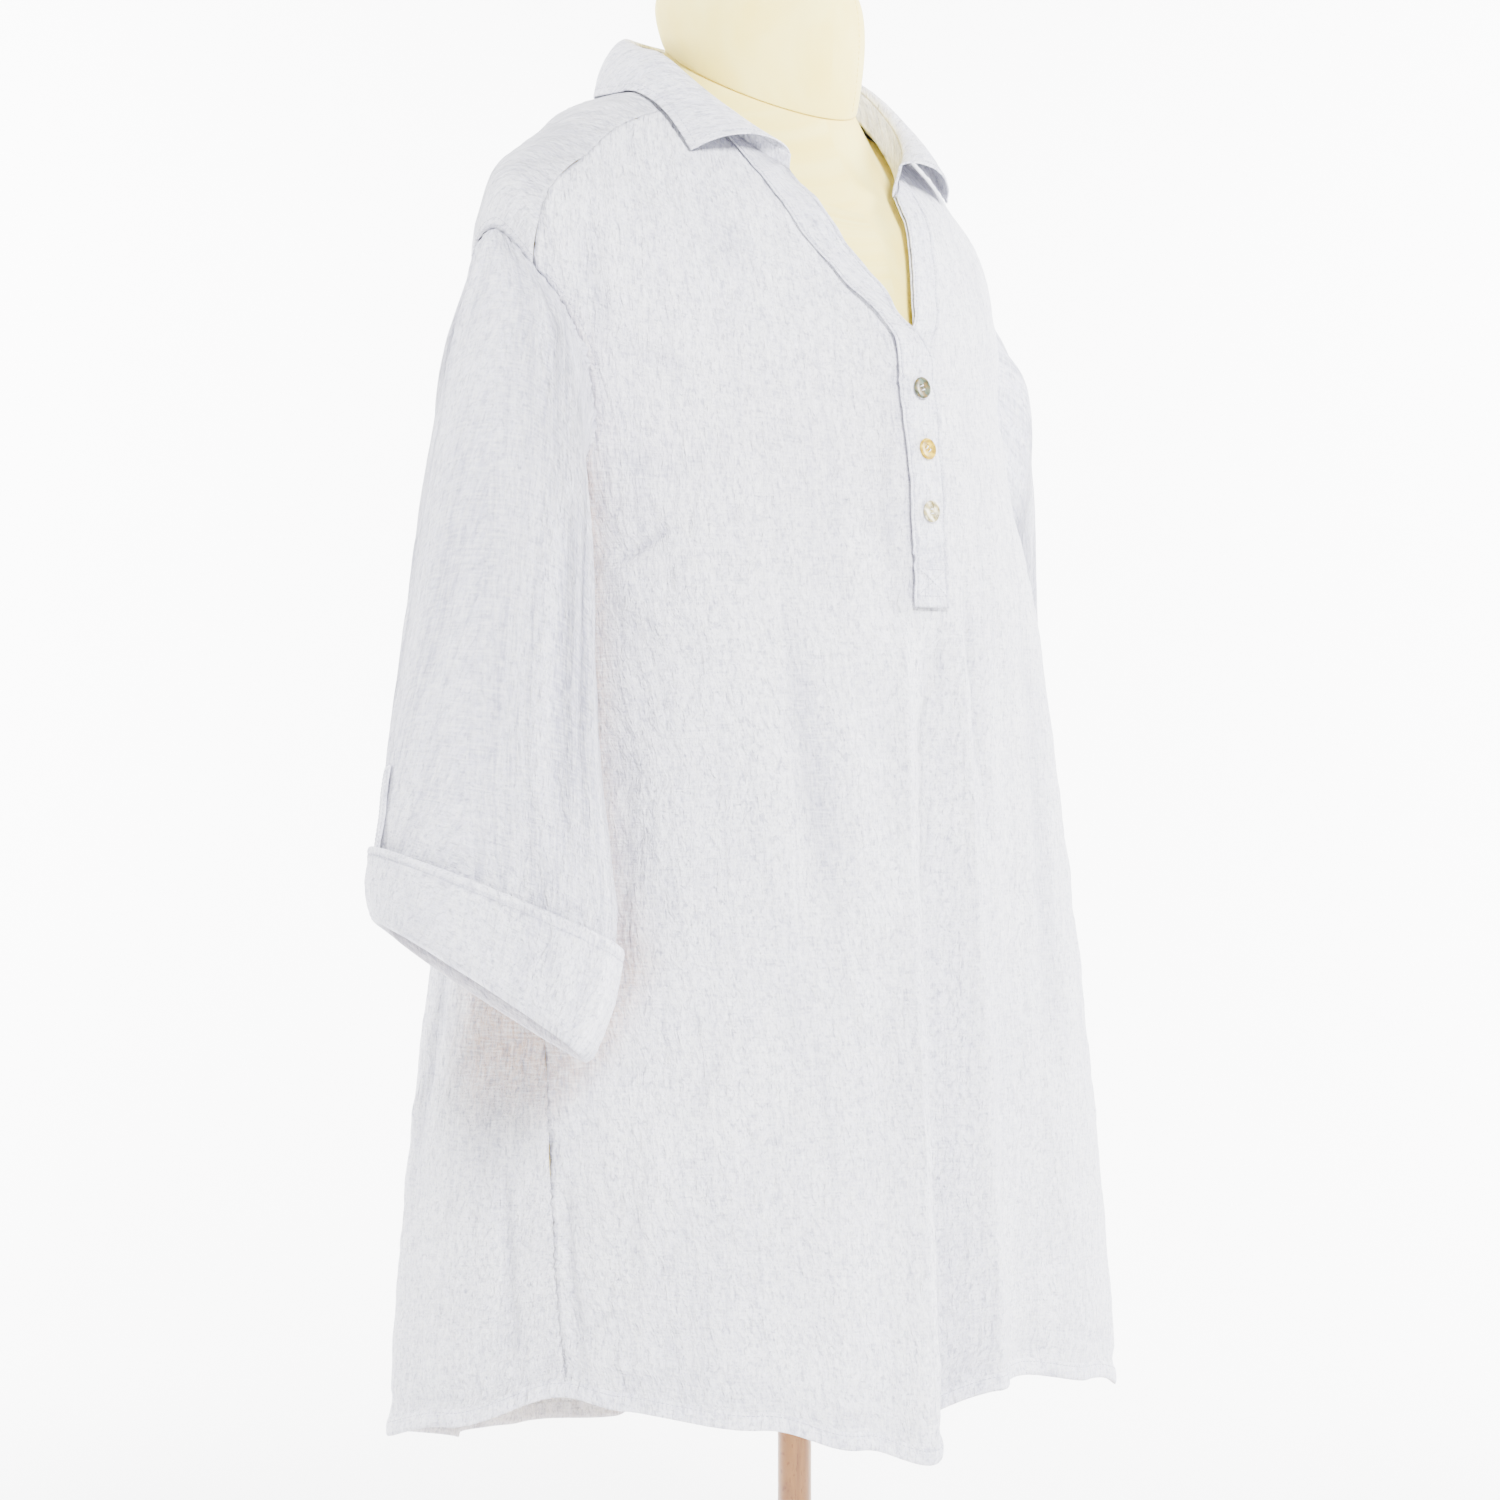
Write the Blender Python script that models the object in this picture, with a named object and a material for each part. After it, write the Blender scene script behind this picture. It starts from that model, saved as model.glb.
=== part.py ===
"""Longline blouse on a limbless dress form, in metres, +Z up, the wearer's front towards -Y.

The blouse is cut from front, back and yoke panels that share one surface: rings at named levels,
with the main folds added to it. Sleeves hang from the armholes, and bands, collar, tabs and
cuffs are made from the points of what they lie on, moved out. Tables are in millimetres.
"""

import math
from collections import namedtuple

import bmesh
import bpy
from mathutils import Vector

MM = 0.001

# Driving sizes, in millimetres
WAIST_HEIGHT = 570.0      # floor to the waist, which every height below is measured from
NECK_BEHIND_POLE = 30.0   # the neck's axis lies this far behind the pole's
CLOTH = 1.2               # wall of every cloth panel
SEAM_GAP = 0.3            # between pieces that are sewn together
SEAM_LEVEL_GAP = 0.005    # the same gap as a share of a level
SHOULDER_SOFTNESS = 0.15  # how round the ridge of the shoulder is

# Levels on the body surface: 0 is the hem and 13 the neck seam
NECK_LEVEL = 13.0
UNDERARM_LEVEL = 5.1
ARMHOLE_TOP_LEVEL = 9.05
ARMHOLE_HALF_ANGLE = 24.0
SLEEVE_TURNS = 28         # steps round a sleeve, which the panels' armhole edges share
YOKE_FRONT_STEPS = 3      # steps from the shoulder to the yoke's front corner
YOKE_BACK_STEPS = 4       # and to its back corner
YOKE_BACK_LEVEL = 9.0
SLIT_LEVEL = 4.05         # foot of the placket's slit

PLACKET_HALF_WIDTH = 14.0
UNDER_STRIP_INSET = 1.5   # how much narrower the under strip is on each side
BAND_WIDTH = 25.0
BAND_WALL = 1.0
BAND_OUT = 2.0            # outer face of a band above the panel it lies on
BAND_STEP = 1.7           # and of the upper band above the under one
BUTTON_RADIUS = 6.25
BUTTON_THICKNESS = 2.0

FORM_NECK_TOP = 462.0
POLE_RADIUS = 10.0
BASE_RADIUS = 150.0
BASE_THICKNESS = 12.0

Section = namedtuple(
    "Section",
    "front_height side_height back_height half_width middle front back front_curve back_curve",
)
SECTIONS = [
    Section(-380, -380, -405, 250.0, 0, 168.0, 150.0, 2.00, 2.0),  # hem: heights come from HEM
    Section(-240, -240, -240, 238.0, 0, 160.0, 146.0, 2.00, 2.0),
    Section(-120, -120, -120, 222.0, 0, 153.0, 140.0, 2.00, 2.0),
    Section(0, 0, 0, 204.0, 0, 146.0, 134.0, 2.00, 2.0),           # waist
    Section(90, 90, 90, 188.0, 4, 141.0, 130.0, 2.00, 2.0),
    Section(135, 135, 135, 178.0, 8, 139.0, 128.0, 1.90, 2.0),     # underarm
    Section(160, 180, 182, 176.0, 12, 137.5, 127.0, 1.80, 2.0),
    Section(186, 225, 230, 183.0, 16, 134.0, 125.0, 1.65, 1.9),
    Section(212, 265, 275, 189.0, 18, 131.0, 122.0, 1.60, 1.9),
    Section(236, 297, 312, 190.5, 18, 127.5, 116.0, 1.55, 1.9),    # foot of the V
    Section(262, 334, 345, 177.0, 18, 121.0, 106.0, 1.60, 1.9),
    Section(286, 356, 367, 148.0, 17, 113.0, 94.0, 1.70, 2.0),
    Section(305, 374, 383, 124.0, 14, 104.0, 82.0, 1.85, 2.0),
    Section(318, 391, 395, 73.0, 8, 92.0, 68.0, 2.00, 2.0),        # neck seam
]

HemPoint = namedtuple("HemPoint", "angle height")
HEM = [
    HemPoint(-180, -416),
    HemPoint(-150, -412),
    HemPoint(-124, -395),
    HemPoint(-97, -381),
    HemPoint(-68, -359),   # right side seam
    HemPoint(-55, -364),
    HemPoint(-32, -372),
    HemPoint(-18, -387),
    HemPoint(-7.5, -400),  # right edge of the pleat
    HemPoint(1, -385),
    HemPoint(8, -368),
    HemPoint(19, -366),
    HemPoint(34, -376),
    HemPoint(58, -392),
    HemPoint(78, -380),
    HemPoint(95, -362),    # left side seam
    HemPoint(112, -378),
    HemPoint(130, -400),
    HemPoint(150, -412),
    HemPoint(180, -416),
]

# Folds of the body: where each starts and ends, how far it stands out at the hem, and its shape
Fold = namedtuple("Fold", "name top_angle hem_angle top_level depth half_width growth")
FOLDS = [
    Fold("pleat right edge", -5.0, -7.5, 3.85, 9.0, 6.0, 0.9),
    Fold("pleat hollow", 0.5, 1.5, 3.85, -36.0, 7.5, 0.75),
    Fold("pleat left edge", 7.0, 10.0, 3.85, 5.0, 6.0, 0.9),
    Fold("left front hollow", 20.0, 18.0, 3.8, -17.0, 15.0, 1.2),
    Fold("right front swell", -18.0, -24.0, 5.0, 15.0, 26.0, 1.2),
    Fold("trough below right bust", -21.0, -27.0, 4.6, -5.0, 6.0, 0.8),
    Fold("left flank swell", 46.0, 50.0, 5.0, 5.0, 18.0, 1.2),
    Fold("right side hollow", -82.0, -76.0, 5.6, -38.0, 46.0, 0.7),
    Fold("left side hollow", 106.0, 108.0, 5.4, -30.0, 42.0, 0.7),
    Fold("right back swell", -128.0, -122.0, 4.6, 6.0, 16.0, 1.1),
    Fold("right back hollow", -140.0, -141.0, 5.6, -12.0, 10.0, 1.0),
    Fold("right back ridge", -156.0, -155.0, 8.0, 8.0, 10.0, 1.2),
    Fold("box pleat right edge", -173.0, -169.0, 8.8, 7.0, 7.0, 0.9),
    Fold("box pleat hollow", 180.0, 180.0, 8.8, -15.0, 9.0, 0.9),
    Fold("box pleat left edge", 173.0, 169.0, 8.8, 7.0, 7.0, 0.9),
    Fold("left back hollow", 152.0, 151.0, 7.0, -12.0, 10.0, 1.1),
    Fold("left back ridge", 136.0, 134.0, 5.6, 8.0, 11.0, 1.1),
]

VEdge = namedtuple("VEdge", "level right left")
V_EDGE = [
    VEdge(9.0, -2.0, 2.0),     # the slit's own width, which goes on below
    VEdge(10.0, -15.0, 7.0),
    VEdge(11.0, -33.0, 15.0),
    VEdge(12.0, -41.0, 22.0),
    VEdge(13.0, -45.0, 30.0),
]

# A sleeve's rings below the armhole: its outer and inner line, how far forward it swings, its
# half width from front to back, how much its front edge hangs, and its turn about the vertical
SleeveRing = namedtuple(
    "SleeveRing", "outer outer_height inner inner_height forward half_width front_drop turn"
)
RIGHT_SLEEVE = [
    SleeveRing(205, 262, 187, 118, 5, 62, 3, 0),
    SleeveRing(211, 222, 192, 98, 8, 67, 3, 0),
    SleeveRing(217, 178, 195, 72, 11, 70, 3, 2),
    SleeveRing(224, 128, 196, 45, 13, 72, 3, 3),
    SleeveRing(231, 76, 197, 15, 15, 74, 3, 4),
    SleeveRing(239, 25, 198, -16, 17, 76, 4, 6),
    SleeveRing(246, -22, 200, -48, 22, 79, 8, 8),
    SleeveRing(253, -56, 203, -80, 29, 83, 19, 8),
    SleeveRing(257, -87, 209, -118, 29, 87, 26, 4),
    SleeveRing(260, -114, 214, -147, 26, 88, 29, -2),
]
LEFT_SLEEVE = [
    SleeveRing(205, 262, 188, 118, -22, 58, 0, 0),
    SleeveRing(212, 222, 194, 98, -28, 61, 0, 0),
    SleeveRing(220, 178, 200, 72, -34, 63, 0, 0),
    SleeveRing(228, 128, 203, 45, -40, 65, 0, 0),
    SleeveRing(236, 74, 207, 15, -46, 67, 0, 0),
    SleeveRing(244, 20, 211, -16, -52, 70, 2, -1),
    SleeveRing(252, -32, 215, -48, -56, 73, 6, -2),
    SleeveRing(259, -74, 219, -80, -58, 78, 14, -2),
    SleeveRing(264, -110, 223, -118, -58, 83, 20, -2),
    SleeveRing(266, -138, 225, -148, -58, 85, 22, -2),
]
SLEEVE_END = 9.84

# Profile of a turned-up cuff: place along the sleeve, and distance out from its surface
CuffPoint = namedtuple("CuffPoint", "along out")
CUFF_PROFILE = [
    CuffPoint(8.40, 5.0),
    CuffPoint(9.00, 5.2),
    CuffPoint(9.60, 4.7),
    CuffPoint(9.96, 3.6),
    CuffPoint(10.09, 1.0),
    CuffPoint(10.04, -2.4),
    CuffPoint(9.85, -4.0),
    CuffPoint(9.60, -4.2),
    CuffPoint(9.60, -2.5),
    CuffPoint(9.86, -2.3),
    CuffPoint(9.99, 0.2),
    CuffPoint(9.88, 2.2),
    CuffPoint(9.00, 3.2),
    CuffPoint(8.40, 3.2),
]

# The collar by angle around the neck: height and lean of its stand, and where the leaf's edge lies
CollarRow = namedtuple("CollarRow", "angle rise lean edge_angle edge_level")
COLLAR = [
    CollarRow(-37, 13, 3, -57, 12.10),   # right front, with the leaf's point
    CollarRow(-52, 13, 4, -65, 12.32),
    CollarRow(-72, 15, 5, -77, 12.48),
    CollarRow(-92, 21, 6, -95, 12.48),
    CollarRow(-133, 33, 6, -133, 12.30),
    CollarRow(-180, 34, 5, -180, 12.20),
    CollarRow(-227, 33, 6, -227, 12.30),
    CollarRow(-268, 22, 6, -265, 12.45),
    CollarRow(-290, 19, 6, -288, 12.32),
    CollarRow(-314, 20, 5, -303, 12.08),
    CollarRow(-335, 20, 4, -313, 11.88),  # left front
]
COLLAR_LIFT = 2.8
LEAF_ROLL = 4.0
LEAF_GAP = 0.9            # between the stand's top edge and the leaf

# The form's own rings, as half width, front and back depth at a height
FormRing = namedtuple("FormRing", "height half_width middle front back")
FORM_LOWER = [
    FormRing(-250, 150.0, 0, 98.0, 104.0),
    FormRing(-236, 158.0, 0, 105.0, 110.0),
    FormRing(-190, 164.0, 0, 110.0, 112.0),
    FormRing(-120, 158.0, 0, 108.0, 106.0),
    FormRing(-60, 140.0, 0, 102.0, 94.0),
    FormRing(0, 126.0, 2, 100.0, 88.0),
    FormRing(60, 137.0, 4, 114.0, 96.0),
    FormRing(110, 150.0, 6, 127.0, 106.0),
]
FormLevel = namedtuple("FormLevel", "level front_gap side_gap back_gap")
FORM_UPPER = [
    FormLevel(6.0, 6.0, 14.0, 14.0),
    FormLevel(7.0, 5.0, 16.0, 12.0),
    FormLevel(8.0, 5.0, 15.0, 9.0),
    FormLevel(9.0, 5.0, 10.0, 6.0),
    FormLevel(10.0, 5.0, 1.5, 4.0),
    FormLevel(11.0, 5.0, 1.15, 3.0),
    FormLevel(12.0, 6.0, 1.5, 3.0),
    FormLevel(12.55, 6.0, 3.5, 4.0),
    FormLevel(12.97, 5.5, 4.5, 4.5),
]
FormNeckRing = namedtuple("FormNeckRing", "radius side_drop front_drop back_drop")
FORM_NECK_BASE = [
    FormNeckRing(60.5, 8.0, 10.0, 28.0),
    FormNeckRing(57.5, 2.0, 3.0, 9.0),
    FormNeckRing(56.5, 0.0, 0.0, 0.0),
]

PALETTE = {
    "voile": ((0.80, 0.80, 0.83), 0.90, 0.0),
    "voile doubled": ((0.84, 0.84, 0.87), 0.88, 0.0),
    "shell green": ((0.42, 0.43, 0.33), 0.25, 0.0),
    "shell gold": ((0.72, 0.55, 0.22), 0.25, 0.0),
    "shell cream": ((0.75, 0.72, 0.58), 0.25, 0.0),
    "cream jersey": ((0.86, 0.82, 0.62), 0.85, 0.0),
    "turned beech": ((0.58, 0.36, 0.18), 0.45, 0.0),
}


def clear_scene():
    for item in list(bpy.data.objects):
        bpy.data.objects.remove(item, do_unlink=True)


def placed(x, y, z):
    """A point in garment millimetres as metres above the floor, with the pole's axis at X = Y = 0."""
    return Vector((x, y + NECK_BEHIND_POLE, z + WAIST_HEIGHT)) * MM


def signed_power(value, power):
    return math.copysign(abs(value) ** power, value)


def clamp(value, low=0.0, high=1.0):
    return max(low, min(high, value))


def smooth(value):
    value = clamp(value)
    return value * value * (3 - 2 * value)


def spline(values, place):
    """A smooth curve through evenly spaced numbers or vectors, read at a fractional index."""
    last = len(values) - 1
    place = clamp(place, 0.0, last)
    start = min(int(place), last - 1)
    t = place - start
    before = values[max(start - 1, 0)]
    first = values[start]
    second = values[start + 1]
    after = values[min(start + 2, last)]
    rise_in = (second - before) * 0.5
    rise_out = (after - first) * 0.5
    return (
        first * (2 * t**3 - 3 * t**2 + 1)
        + rise_in * (t**3 - 2 * t**2 + t)
        + second * (3 * t**2 - 2 * t**3)
        + rise_out * (t**3 - t**2)
    )


def table_at(rows, place):
    """Every column of a table, read smoothly between its rows."""
    kind = type(rows[0])
    columns = zip(*rows)
    return kind(*(spline([float(value) for value in column], place) for column in columns))


def along_table(keys, values, key):
    """A value between rows whose first column is key, rising or falling, eased at each row."""
    if keys[0] > keys[-1]:
        keys = keys[::-1]
        values = values[::-1]
    if key <= keys[0]:
        return values[0]
    for low, high, first, second in zip(keys, keys[1:], values, values[1:]):
        if key <= high:
            return first + (second - first) * (key - low) / (high - low)
    return values[-1]


def wrap(angle):
    """The angle within 180 degrees of the centre front."""
    return (angle + 180.0) % 360.0 - 180.0


def hem_height(angle):
    angle = wrap(angle)
    keys = [row.angle for row in HEM]
    index = max(i for i in range(len(HEM) - 1) if keys[i] <= angle)
    t = (angle - keys[index]) / (keys[index + 1] - keys[index])
    return HEM[index].height + (HEM[index + 1].height - HEM[index].height) * smooth(t)


def ring_point(section, angle):
    """A point of one ring: 0 degrees is the centre front and +90 the wearer's left side."""
    s = math.sin(math.radians(angle))
    c = math.cos(math.radians(angle))
    in_front = c > 0
    power = 2 / (section.front_curve if in_front else section.back_curve)
    depth = section.front + section.middle if in_front else section.back - section.middle
    x = section.half_width * signed_power(s, power)
    y = section.middle - depth * signed_power(c, power)
    soft = SHOULDER_SOFTNESS
    lean = (math.hypot(c, soft) - soft) / (math.hypot(1, soft) - soft)
    end = section.front_height if in_front else section.back_height
    return x, y, section.side_height + (end - section.side_height) * lean


def fold_depth(angle, level):
    total = 0.0
    for fold in FOLDS:
        t = clamp((fold.top_level - level) / fold.top_level)
        centre = fold.top_angle + (fold.hem_angle - fold.top_angle) * t
        away = abs(wrap(angle - centre)) / fold.half_width
        if t > 0 and away < 1:
            total += fold.depth * t**fold.growth * (0.5 + 0.5 * math.cos(math.pi * away))
    return total


def body_at(angle, level):
    """The outer face of the blouse's body at an angle and a level."""
    x, y, z = ring_point(table_at(SECTIONS, level), angle)
    if level < 1:
        z = SECTIONS[1].side_height + (hem_height(angle) - SECTIONS[1].side_height) * (1 - level)
    reach = math.hypot(x, y)
    scale = 1 + fold_depth(angle, level) / reach
    return placed(x * scale, y * scale, z)


def body_normal(angle, level):
    step = 0.5
    around = body_at(angle + step, level) - body_at(angle - step, level)
    upper = min(level + 0.03, NECK_LEVEL)
    lower = max(level - 0.03, 0.0)
    return around.cross(body_at(angle, upper) - body_at(angle, lower)).normalized()


def body_out(angle, level, out):
    """A point at a distance in millimetres from the body's surface."""
    return body_at(angle, level) + body_normal(angle, level) * (out * MM)


def angle_of(level, x):
    """The angle at which the ring of a level reaches an x near the centre front."""
    section = table_at(SECTIONS, level)
    ratio = clamp(abs(x) / section.half_width)
    return math.copysign(math.degrees(math.asin(ratio ** (section.front_curve / 2))), x)


def gap_angle(level):
    """The angle that half a seam gap takes at a level."""
    return math.degrees(0.5 * SEAM_GAP / table_at(SECTIONS, level).half_width) * 1.3


def armhole(turn):
    """Angle and level of the left armhole: turn 0 at the shoulder, 90 in front, 180 underneath."""
    middle = (UNDERARM_LEVEL + ARMHOLE_TOP_LEVEL) / 2
    half = (ARMHOLE_TOP_LEVEL - UNDERARM_LEVEL) / 2
    return (
        90 - ARMHOLE_HALF_ANGLE * math.sin(math.radians(turn)),
        middle + half * math.cos(math.radians(turn)),
    )


YOKE_FRONT_ANGLE, YOKE_FRONT_LEVEL = armhole(360 * YOKE_FRONT_STEPS / SLEEVE_TURNS)
YOKE_BACK_ANGLE, YOKE_BACK_CORNER_LEVEL = armhole(-360 * YOKE_BACK_STEPS / SLEEVE_TURNS)


def armhole_opening(level):
    """Half the armhole's width in degrees at a level, and none outside it."""
    middle = (UNDERARM_LEVEL + ARMHOLE_TOP_LEVEL) / 2
    half = (ARMHOLE_TOP_LEVEL - UNDERARM_LEVEL) / 2
    return ARMHOLE_HALF_ANGLE * math.sqrt(clamp(1 - ((level - middle) / half) ** 2))


def armhole_level(angle):
    """The upper edge of the left armhole at an angle."""
    middle = (UNDERARM_LEVEL + ARMHOLE_TOP_LEVEL) / 2
    half = (ARMHOLE_TOP_LEVEL - UNDERARM_LEVEL) / 2
    return middle + half * math.sqrt(clamp(1 - ((angle - 90) / ARMHOLE_HALF_ANGLE) ** 2))


def side_seam(side, level):
    """Angle of the side seam, which swings forward on the right towards the hem."""
    below = clamp((UNDERARM_LEVEL - level) / UNDERARM_LEVEL)
    if side < 0:
        return -90 + 22 * below**1.4
    return 90 + 5 * below


def front_edge(side, level):
    """Angle of the front panel's outer edge: side seam, armhole, then shoulder seam."""
    if level <= UNDERARM_LEVEL:
        return side_seam(side, level)
    if level >= YOKE_FRONT_LEVEL - 1e-6:
        return side * YOKE_FRONT_ANGLE
    return side * (90 - armhole_opening(level))


def v_edge_x(side, level):
    """X of the front panel's inner edge: the slit, then the V."""
    levels = [row.level for row in V_EDGE]
    return along_table(levels, [row.right if side < 0 else row.left for row in V_EDGE], level)


def v_edge(side, level):
    return angle_of(level, v_edge_x(side, level))


def finish(name, mesh_data, material):
    mesh = bpy.data.meshes.new(name)
    mesh_data.to_mesh(mesh)
    mesh_data.free()
    mesh.shade_smooth()
    mesh.set_sharp_from_angle(angle=math.radians(50))
    item = bpy.data.objects.new(name, mesh)
    bpy.context.scene.collection.objects.link(item)
    item.data.materials.append(material_of(material))
    return item


def material_of(name):
    found = bpy.data.materials.get(name)
    if found:
        return found
    colour, roughness, metallic = PALETTE[name]
    material = bpy.data.materials.new(name)
    material.use_nodes = True
    shader = material.node_tree.nodes["Principled BSDF"]
    shader.inputs["Base Color"].default_value = (*colour, 1)
    shader.inputs["Roughness"].default_value = roughness
    shader.inputs["Metallic"].default_value = metallic
    return material


def cloth_piece(name, points, normals, faces, wall=CLOTH, material="voile"):
    """A closed wall: outer points by key, the same points moved in, and a rim round every edge."""
    made = bmesh.new()
    outer = {key: made.verts.new(point) for key, point in points.items()}
    inner = {
        key: made.verts.new(point - normals[key] * (wall * MM)) for key, point in points.items()
    }
    open_edges = {}
    for face in faces:
        made.faces.new([outer[key] for key in face])
        made.faces.new([inner[key] for key in reversed(face)])
        for first, second in zip(face, face[1:] + face[:1]):
            if (second, first) in open_edges:
                del open_edges[(second, first)]
            else:
                open_edges[(first, second)] = True
    for first, second in open_edges:
        made.faces.new([outer[second], outer[first], inner[first], inner[second]])
    bmesh.ops.recalc_face_normals(made, faces=made.faces)
    return finish(name, made, material)


def grid_piece(name, rows, normals, wall=CLOTH, material="voile"):
    """A cloth piece from rows of points, each row the same length."""
    points = {(i, j): p for i, row in enumerate(rows) for j, p in enumerate(row)}
    directions = {(i, j): n for i, row in enumerate(normals) for j, n in enumerate(row)}
    faces = [
        [(i, j), (i, j + 1), (i + 1, j + 1), (i + 1, j)]
        for i in range(len(rows) - 1)
        for j in range(len(rows[0]) - 1)
    ]
    return cloth_piece(name, points, directions, faces, wall, material)


def loft(name, rings, material, closed_profile=False):
    """A solid through rings of points: capped at both ends, or joined into a closed profile."""
    made = bmesh.new()
    loops = [[made.verts.new(point) for point in ring] for ring in rings]
    count = len(loops[0])
    pairs = list(zip(loops, loops[1:]))
    if closed_profile:
        pairs.append((loops[-1], loops[0]))
    else:
        made.faces.new(loops[0])
        made.faces.new(loops[-1])
    for low, high in pairs:
        for j in range(count):
            k = (j + 1) % count
            made.faces.new([low[j], low[k], high[k], high[j]])
    bmesh.ops.recalc_face_normals(made, faces=made.faces)
    return finish(name, made, material)


def armhole_levels(first_step, last_step):
    """Levels of the sleeve's own steps up the armhole, so that panel and sleeve share corners."""
    return [armhole(360 * step / SLEEVE_TURNS)[1] for step in range(first_step, last_step, -1)]


HALF_TURN = SLEEVE_TURNS // 2
YOKE_SEAM_LEVELS = [YOKE_FRONT_LEVEL, 9.3, 9.9, 10.5, 11.1, 11.7, 12.4, NECK_LEVEL]
FRONT_LEVELS = (
    [0, 0.12, 0.45, 0.8, 1.2, 1.6, 2.0, 2.4, 2.8, 3.2, 3.6, SLIT_LEVEL, 4.5, 4.85]
    + armhole_levels(HALF_TURN, YOKE_FRONT_STEPS)
    + YOKE_SEAM_LEVELS
)
FRONT_COLUMNS = 15


def build_front():
    """One panel: both halves share the centre line below the slit."""
    points, normals, faces = {}, {}, []
    for side in (-1, 1):
        for i, level in enumerate(FRONT_LEVELS):
            edge = front_edge(side, level) - side * gap_angle(level)
            start = v_edge(side, level) if level > SLIT_LEVEL else 0.0
            place = min(level, NECK_LEVEL - SEAM_LEVEL_GAP)
            for j in range(FRONT_COLUMNS + 1):
                angle = start + (edge - start) * (j / FRONT_COLUMNS) ** 1.3
                joined = j == 0 and level <= SLIT_LEVEL
                key = (i, 0) if joined else (i, side * (j + 1))
                points[key] = body_at(angle, place)
                normals[key] = body_normal(angle, place)
    for side in (-1, 1):
        for i in range(len(FRONT_LEVELS) - 1):
            for j in range(FRONT_COLUMNS):
                low = (i, side * (j + 1)) if (j or (i, side) in points) else (i, 0)
                high = (i + 1, side * (j + 1)) if (j or (i + 1, side) in points) else (i + 1, 0)
                quad = [low, (i, side * (j + 2)), (i + 1, side * (j + 2)), high]
                faces.append(quad if side > 0 else quad[::-1])
    return cloth_piece("front", points, normals, faces)


BACK_LEVELS = (
    [0, 0.12, 0.5, 1.0, 1.5, 2.0, 2.5, 3.0, 3.6, 4.3, 4.85]
    + armhole_levels(HALF_TURN, YOKE_BACK_STEPS - 1)
)
BACK_COLUMNS = 28
BACK_RISE_LEVEL = 6.0      # rows start to rise here to meet the yoke seam


def yoke_seam_level(angle):
    """Level of the back yoke seam, which dips towards the armholes."""
    from_corner = (180 - abs(180 - angle % 360) - YOKE_BACK_ANGLE) / (180 - YOKE_BACK_ANGLE)
    rise = YOKE_BACK_LEVEL - YOKE_BACK_CORNER_LEVEL
    return YOKE_BACK_CORNER_LEVEL + rise * math.sin(math.radians(90 * clamp(from_corner)))


def back_edge(side, level):
    if level <= UNDERARM_LEVEL:
        return side_seam(side, level)
    return side * (90 + armhole_opening(level))


def build_back():
    rows, normals = [], []
    for level in BACK_LEVELS:
        left = back_edge(1, level) + gap_angle(level)
        right = back_edge(-1, level) - gap_angle(level) + 360
        row, direction = [], []
        for j in range(BACK_COLUMNS + 1):
            angle = left + (right - left) * j / BACK_COLUMNS
            share = clamp((level - BACK_RISE_LEVEL) / (YOKE_BACK_CORNER_LEVEL - BACK_RISE_LEVEL))
            lift = (yoke_seam_level(angle) - YOKE_BACK_CORNER_LEVEL) * share
            place = level + lift - (SEAM_LEVEL_GAP if share == 1 else 0)
            row.append(body_at(angle, place))
            direction.append(body_normal(angle, place))
        rows.append(row)
        normals.append(direction)
    return grid_piece("back", rows, normals)


YOKE_ANGLES = [
    armhole(360 * step / SLEEVE_TURNS)[0] for step in range(YOKE_FRONT_STEPS, -YOKE_BACK_STEPS, -1)
] + [YOKE_BACK_ANGLE + (180 - YOKE_BACK_ANGLE) * i / 7 for i in range(8)]


def yoke_low_level(angle):
    folded = 180 - abs(180 - angle % 360)
    if folded < YOKE_BACK_ANGLE - 1e-6:
        return armhole_level(folded)
    return yoke_seam_level(folded)


def build_yoke():
    angles = YOKE_ANGLES + [360 - angle for angle in reversed(YOKE_ANGLES[:-1])]
    rows, normals = [], []
    for seam_level in YOKE_SEAM_LEVELS:
        share = (seam_level - YOKE_FRONT_LEVEL) / (NECK_LEVEL - YOKE_FRONT_LEVEL)
        row, direction = [], []
        for j, angle in enumerate(angles):
            low = yoke_low_level(angle) + SEAM_LEVEL_GAP
            level = low + (NECK_LEVEL - SEAM_LEVEL_GAP - low) * share
            inset = gap_angle(level) * (1 if j == 0 else -1 if j == len(angles) - 1 else 0)
            row.append(body_at(angle + inset, level))
            direction.append(body_normal(angle + inset, level))
        rows.append(row)
        normals.append(direction)
    return grid_piece("yoke", rows, normals)


ARMHOLE_SHRINK = 0.994  # leaves the seam gap between a sleeve and its armhole
UNDERARM_CLEAR = 0.9    # a sleeve turns back down over the panels under the arm


def sleeve_ring_point(ring, side, turn):
    """A point of one sleeve ring: turn 0 is its outer line and 90 its front edge."""
    s = signed_power(math.sin(math.radians(turn)), 0.85)
    c = signed_power(math.cos(math.radians(turn)), 0.85)
    swing = math.radians(ring.turn)
    middle = (ring.outer + ring.inner) / 2
    height = (ring.outer_height + ring.inner_height) / 2
    out = middle + (ring.outer - ring.inner) / 2 * c - ring.half_width * s * math.sin(swing)
    y = -ring.forward - ring.half_width * s * math.cos(swing)
    z = height + (ring.outer_height - ring.inner_height) / 2 * c - ring.front_drop * s
    return placed(side * out, y, z)


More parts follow.
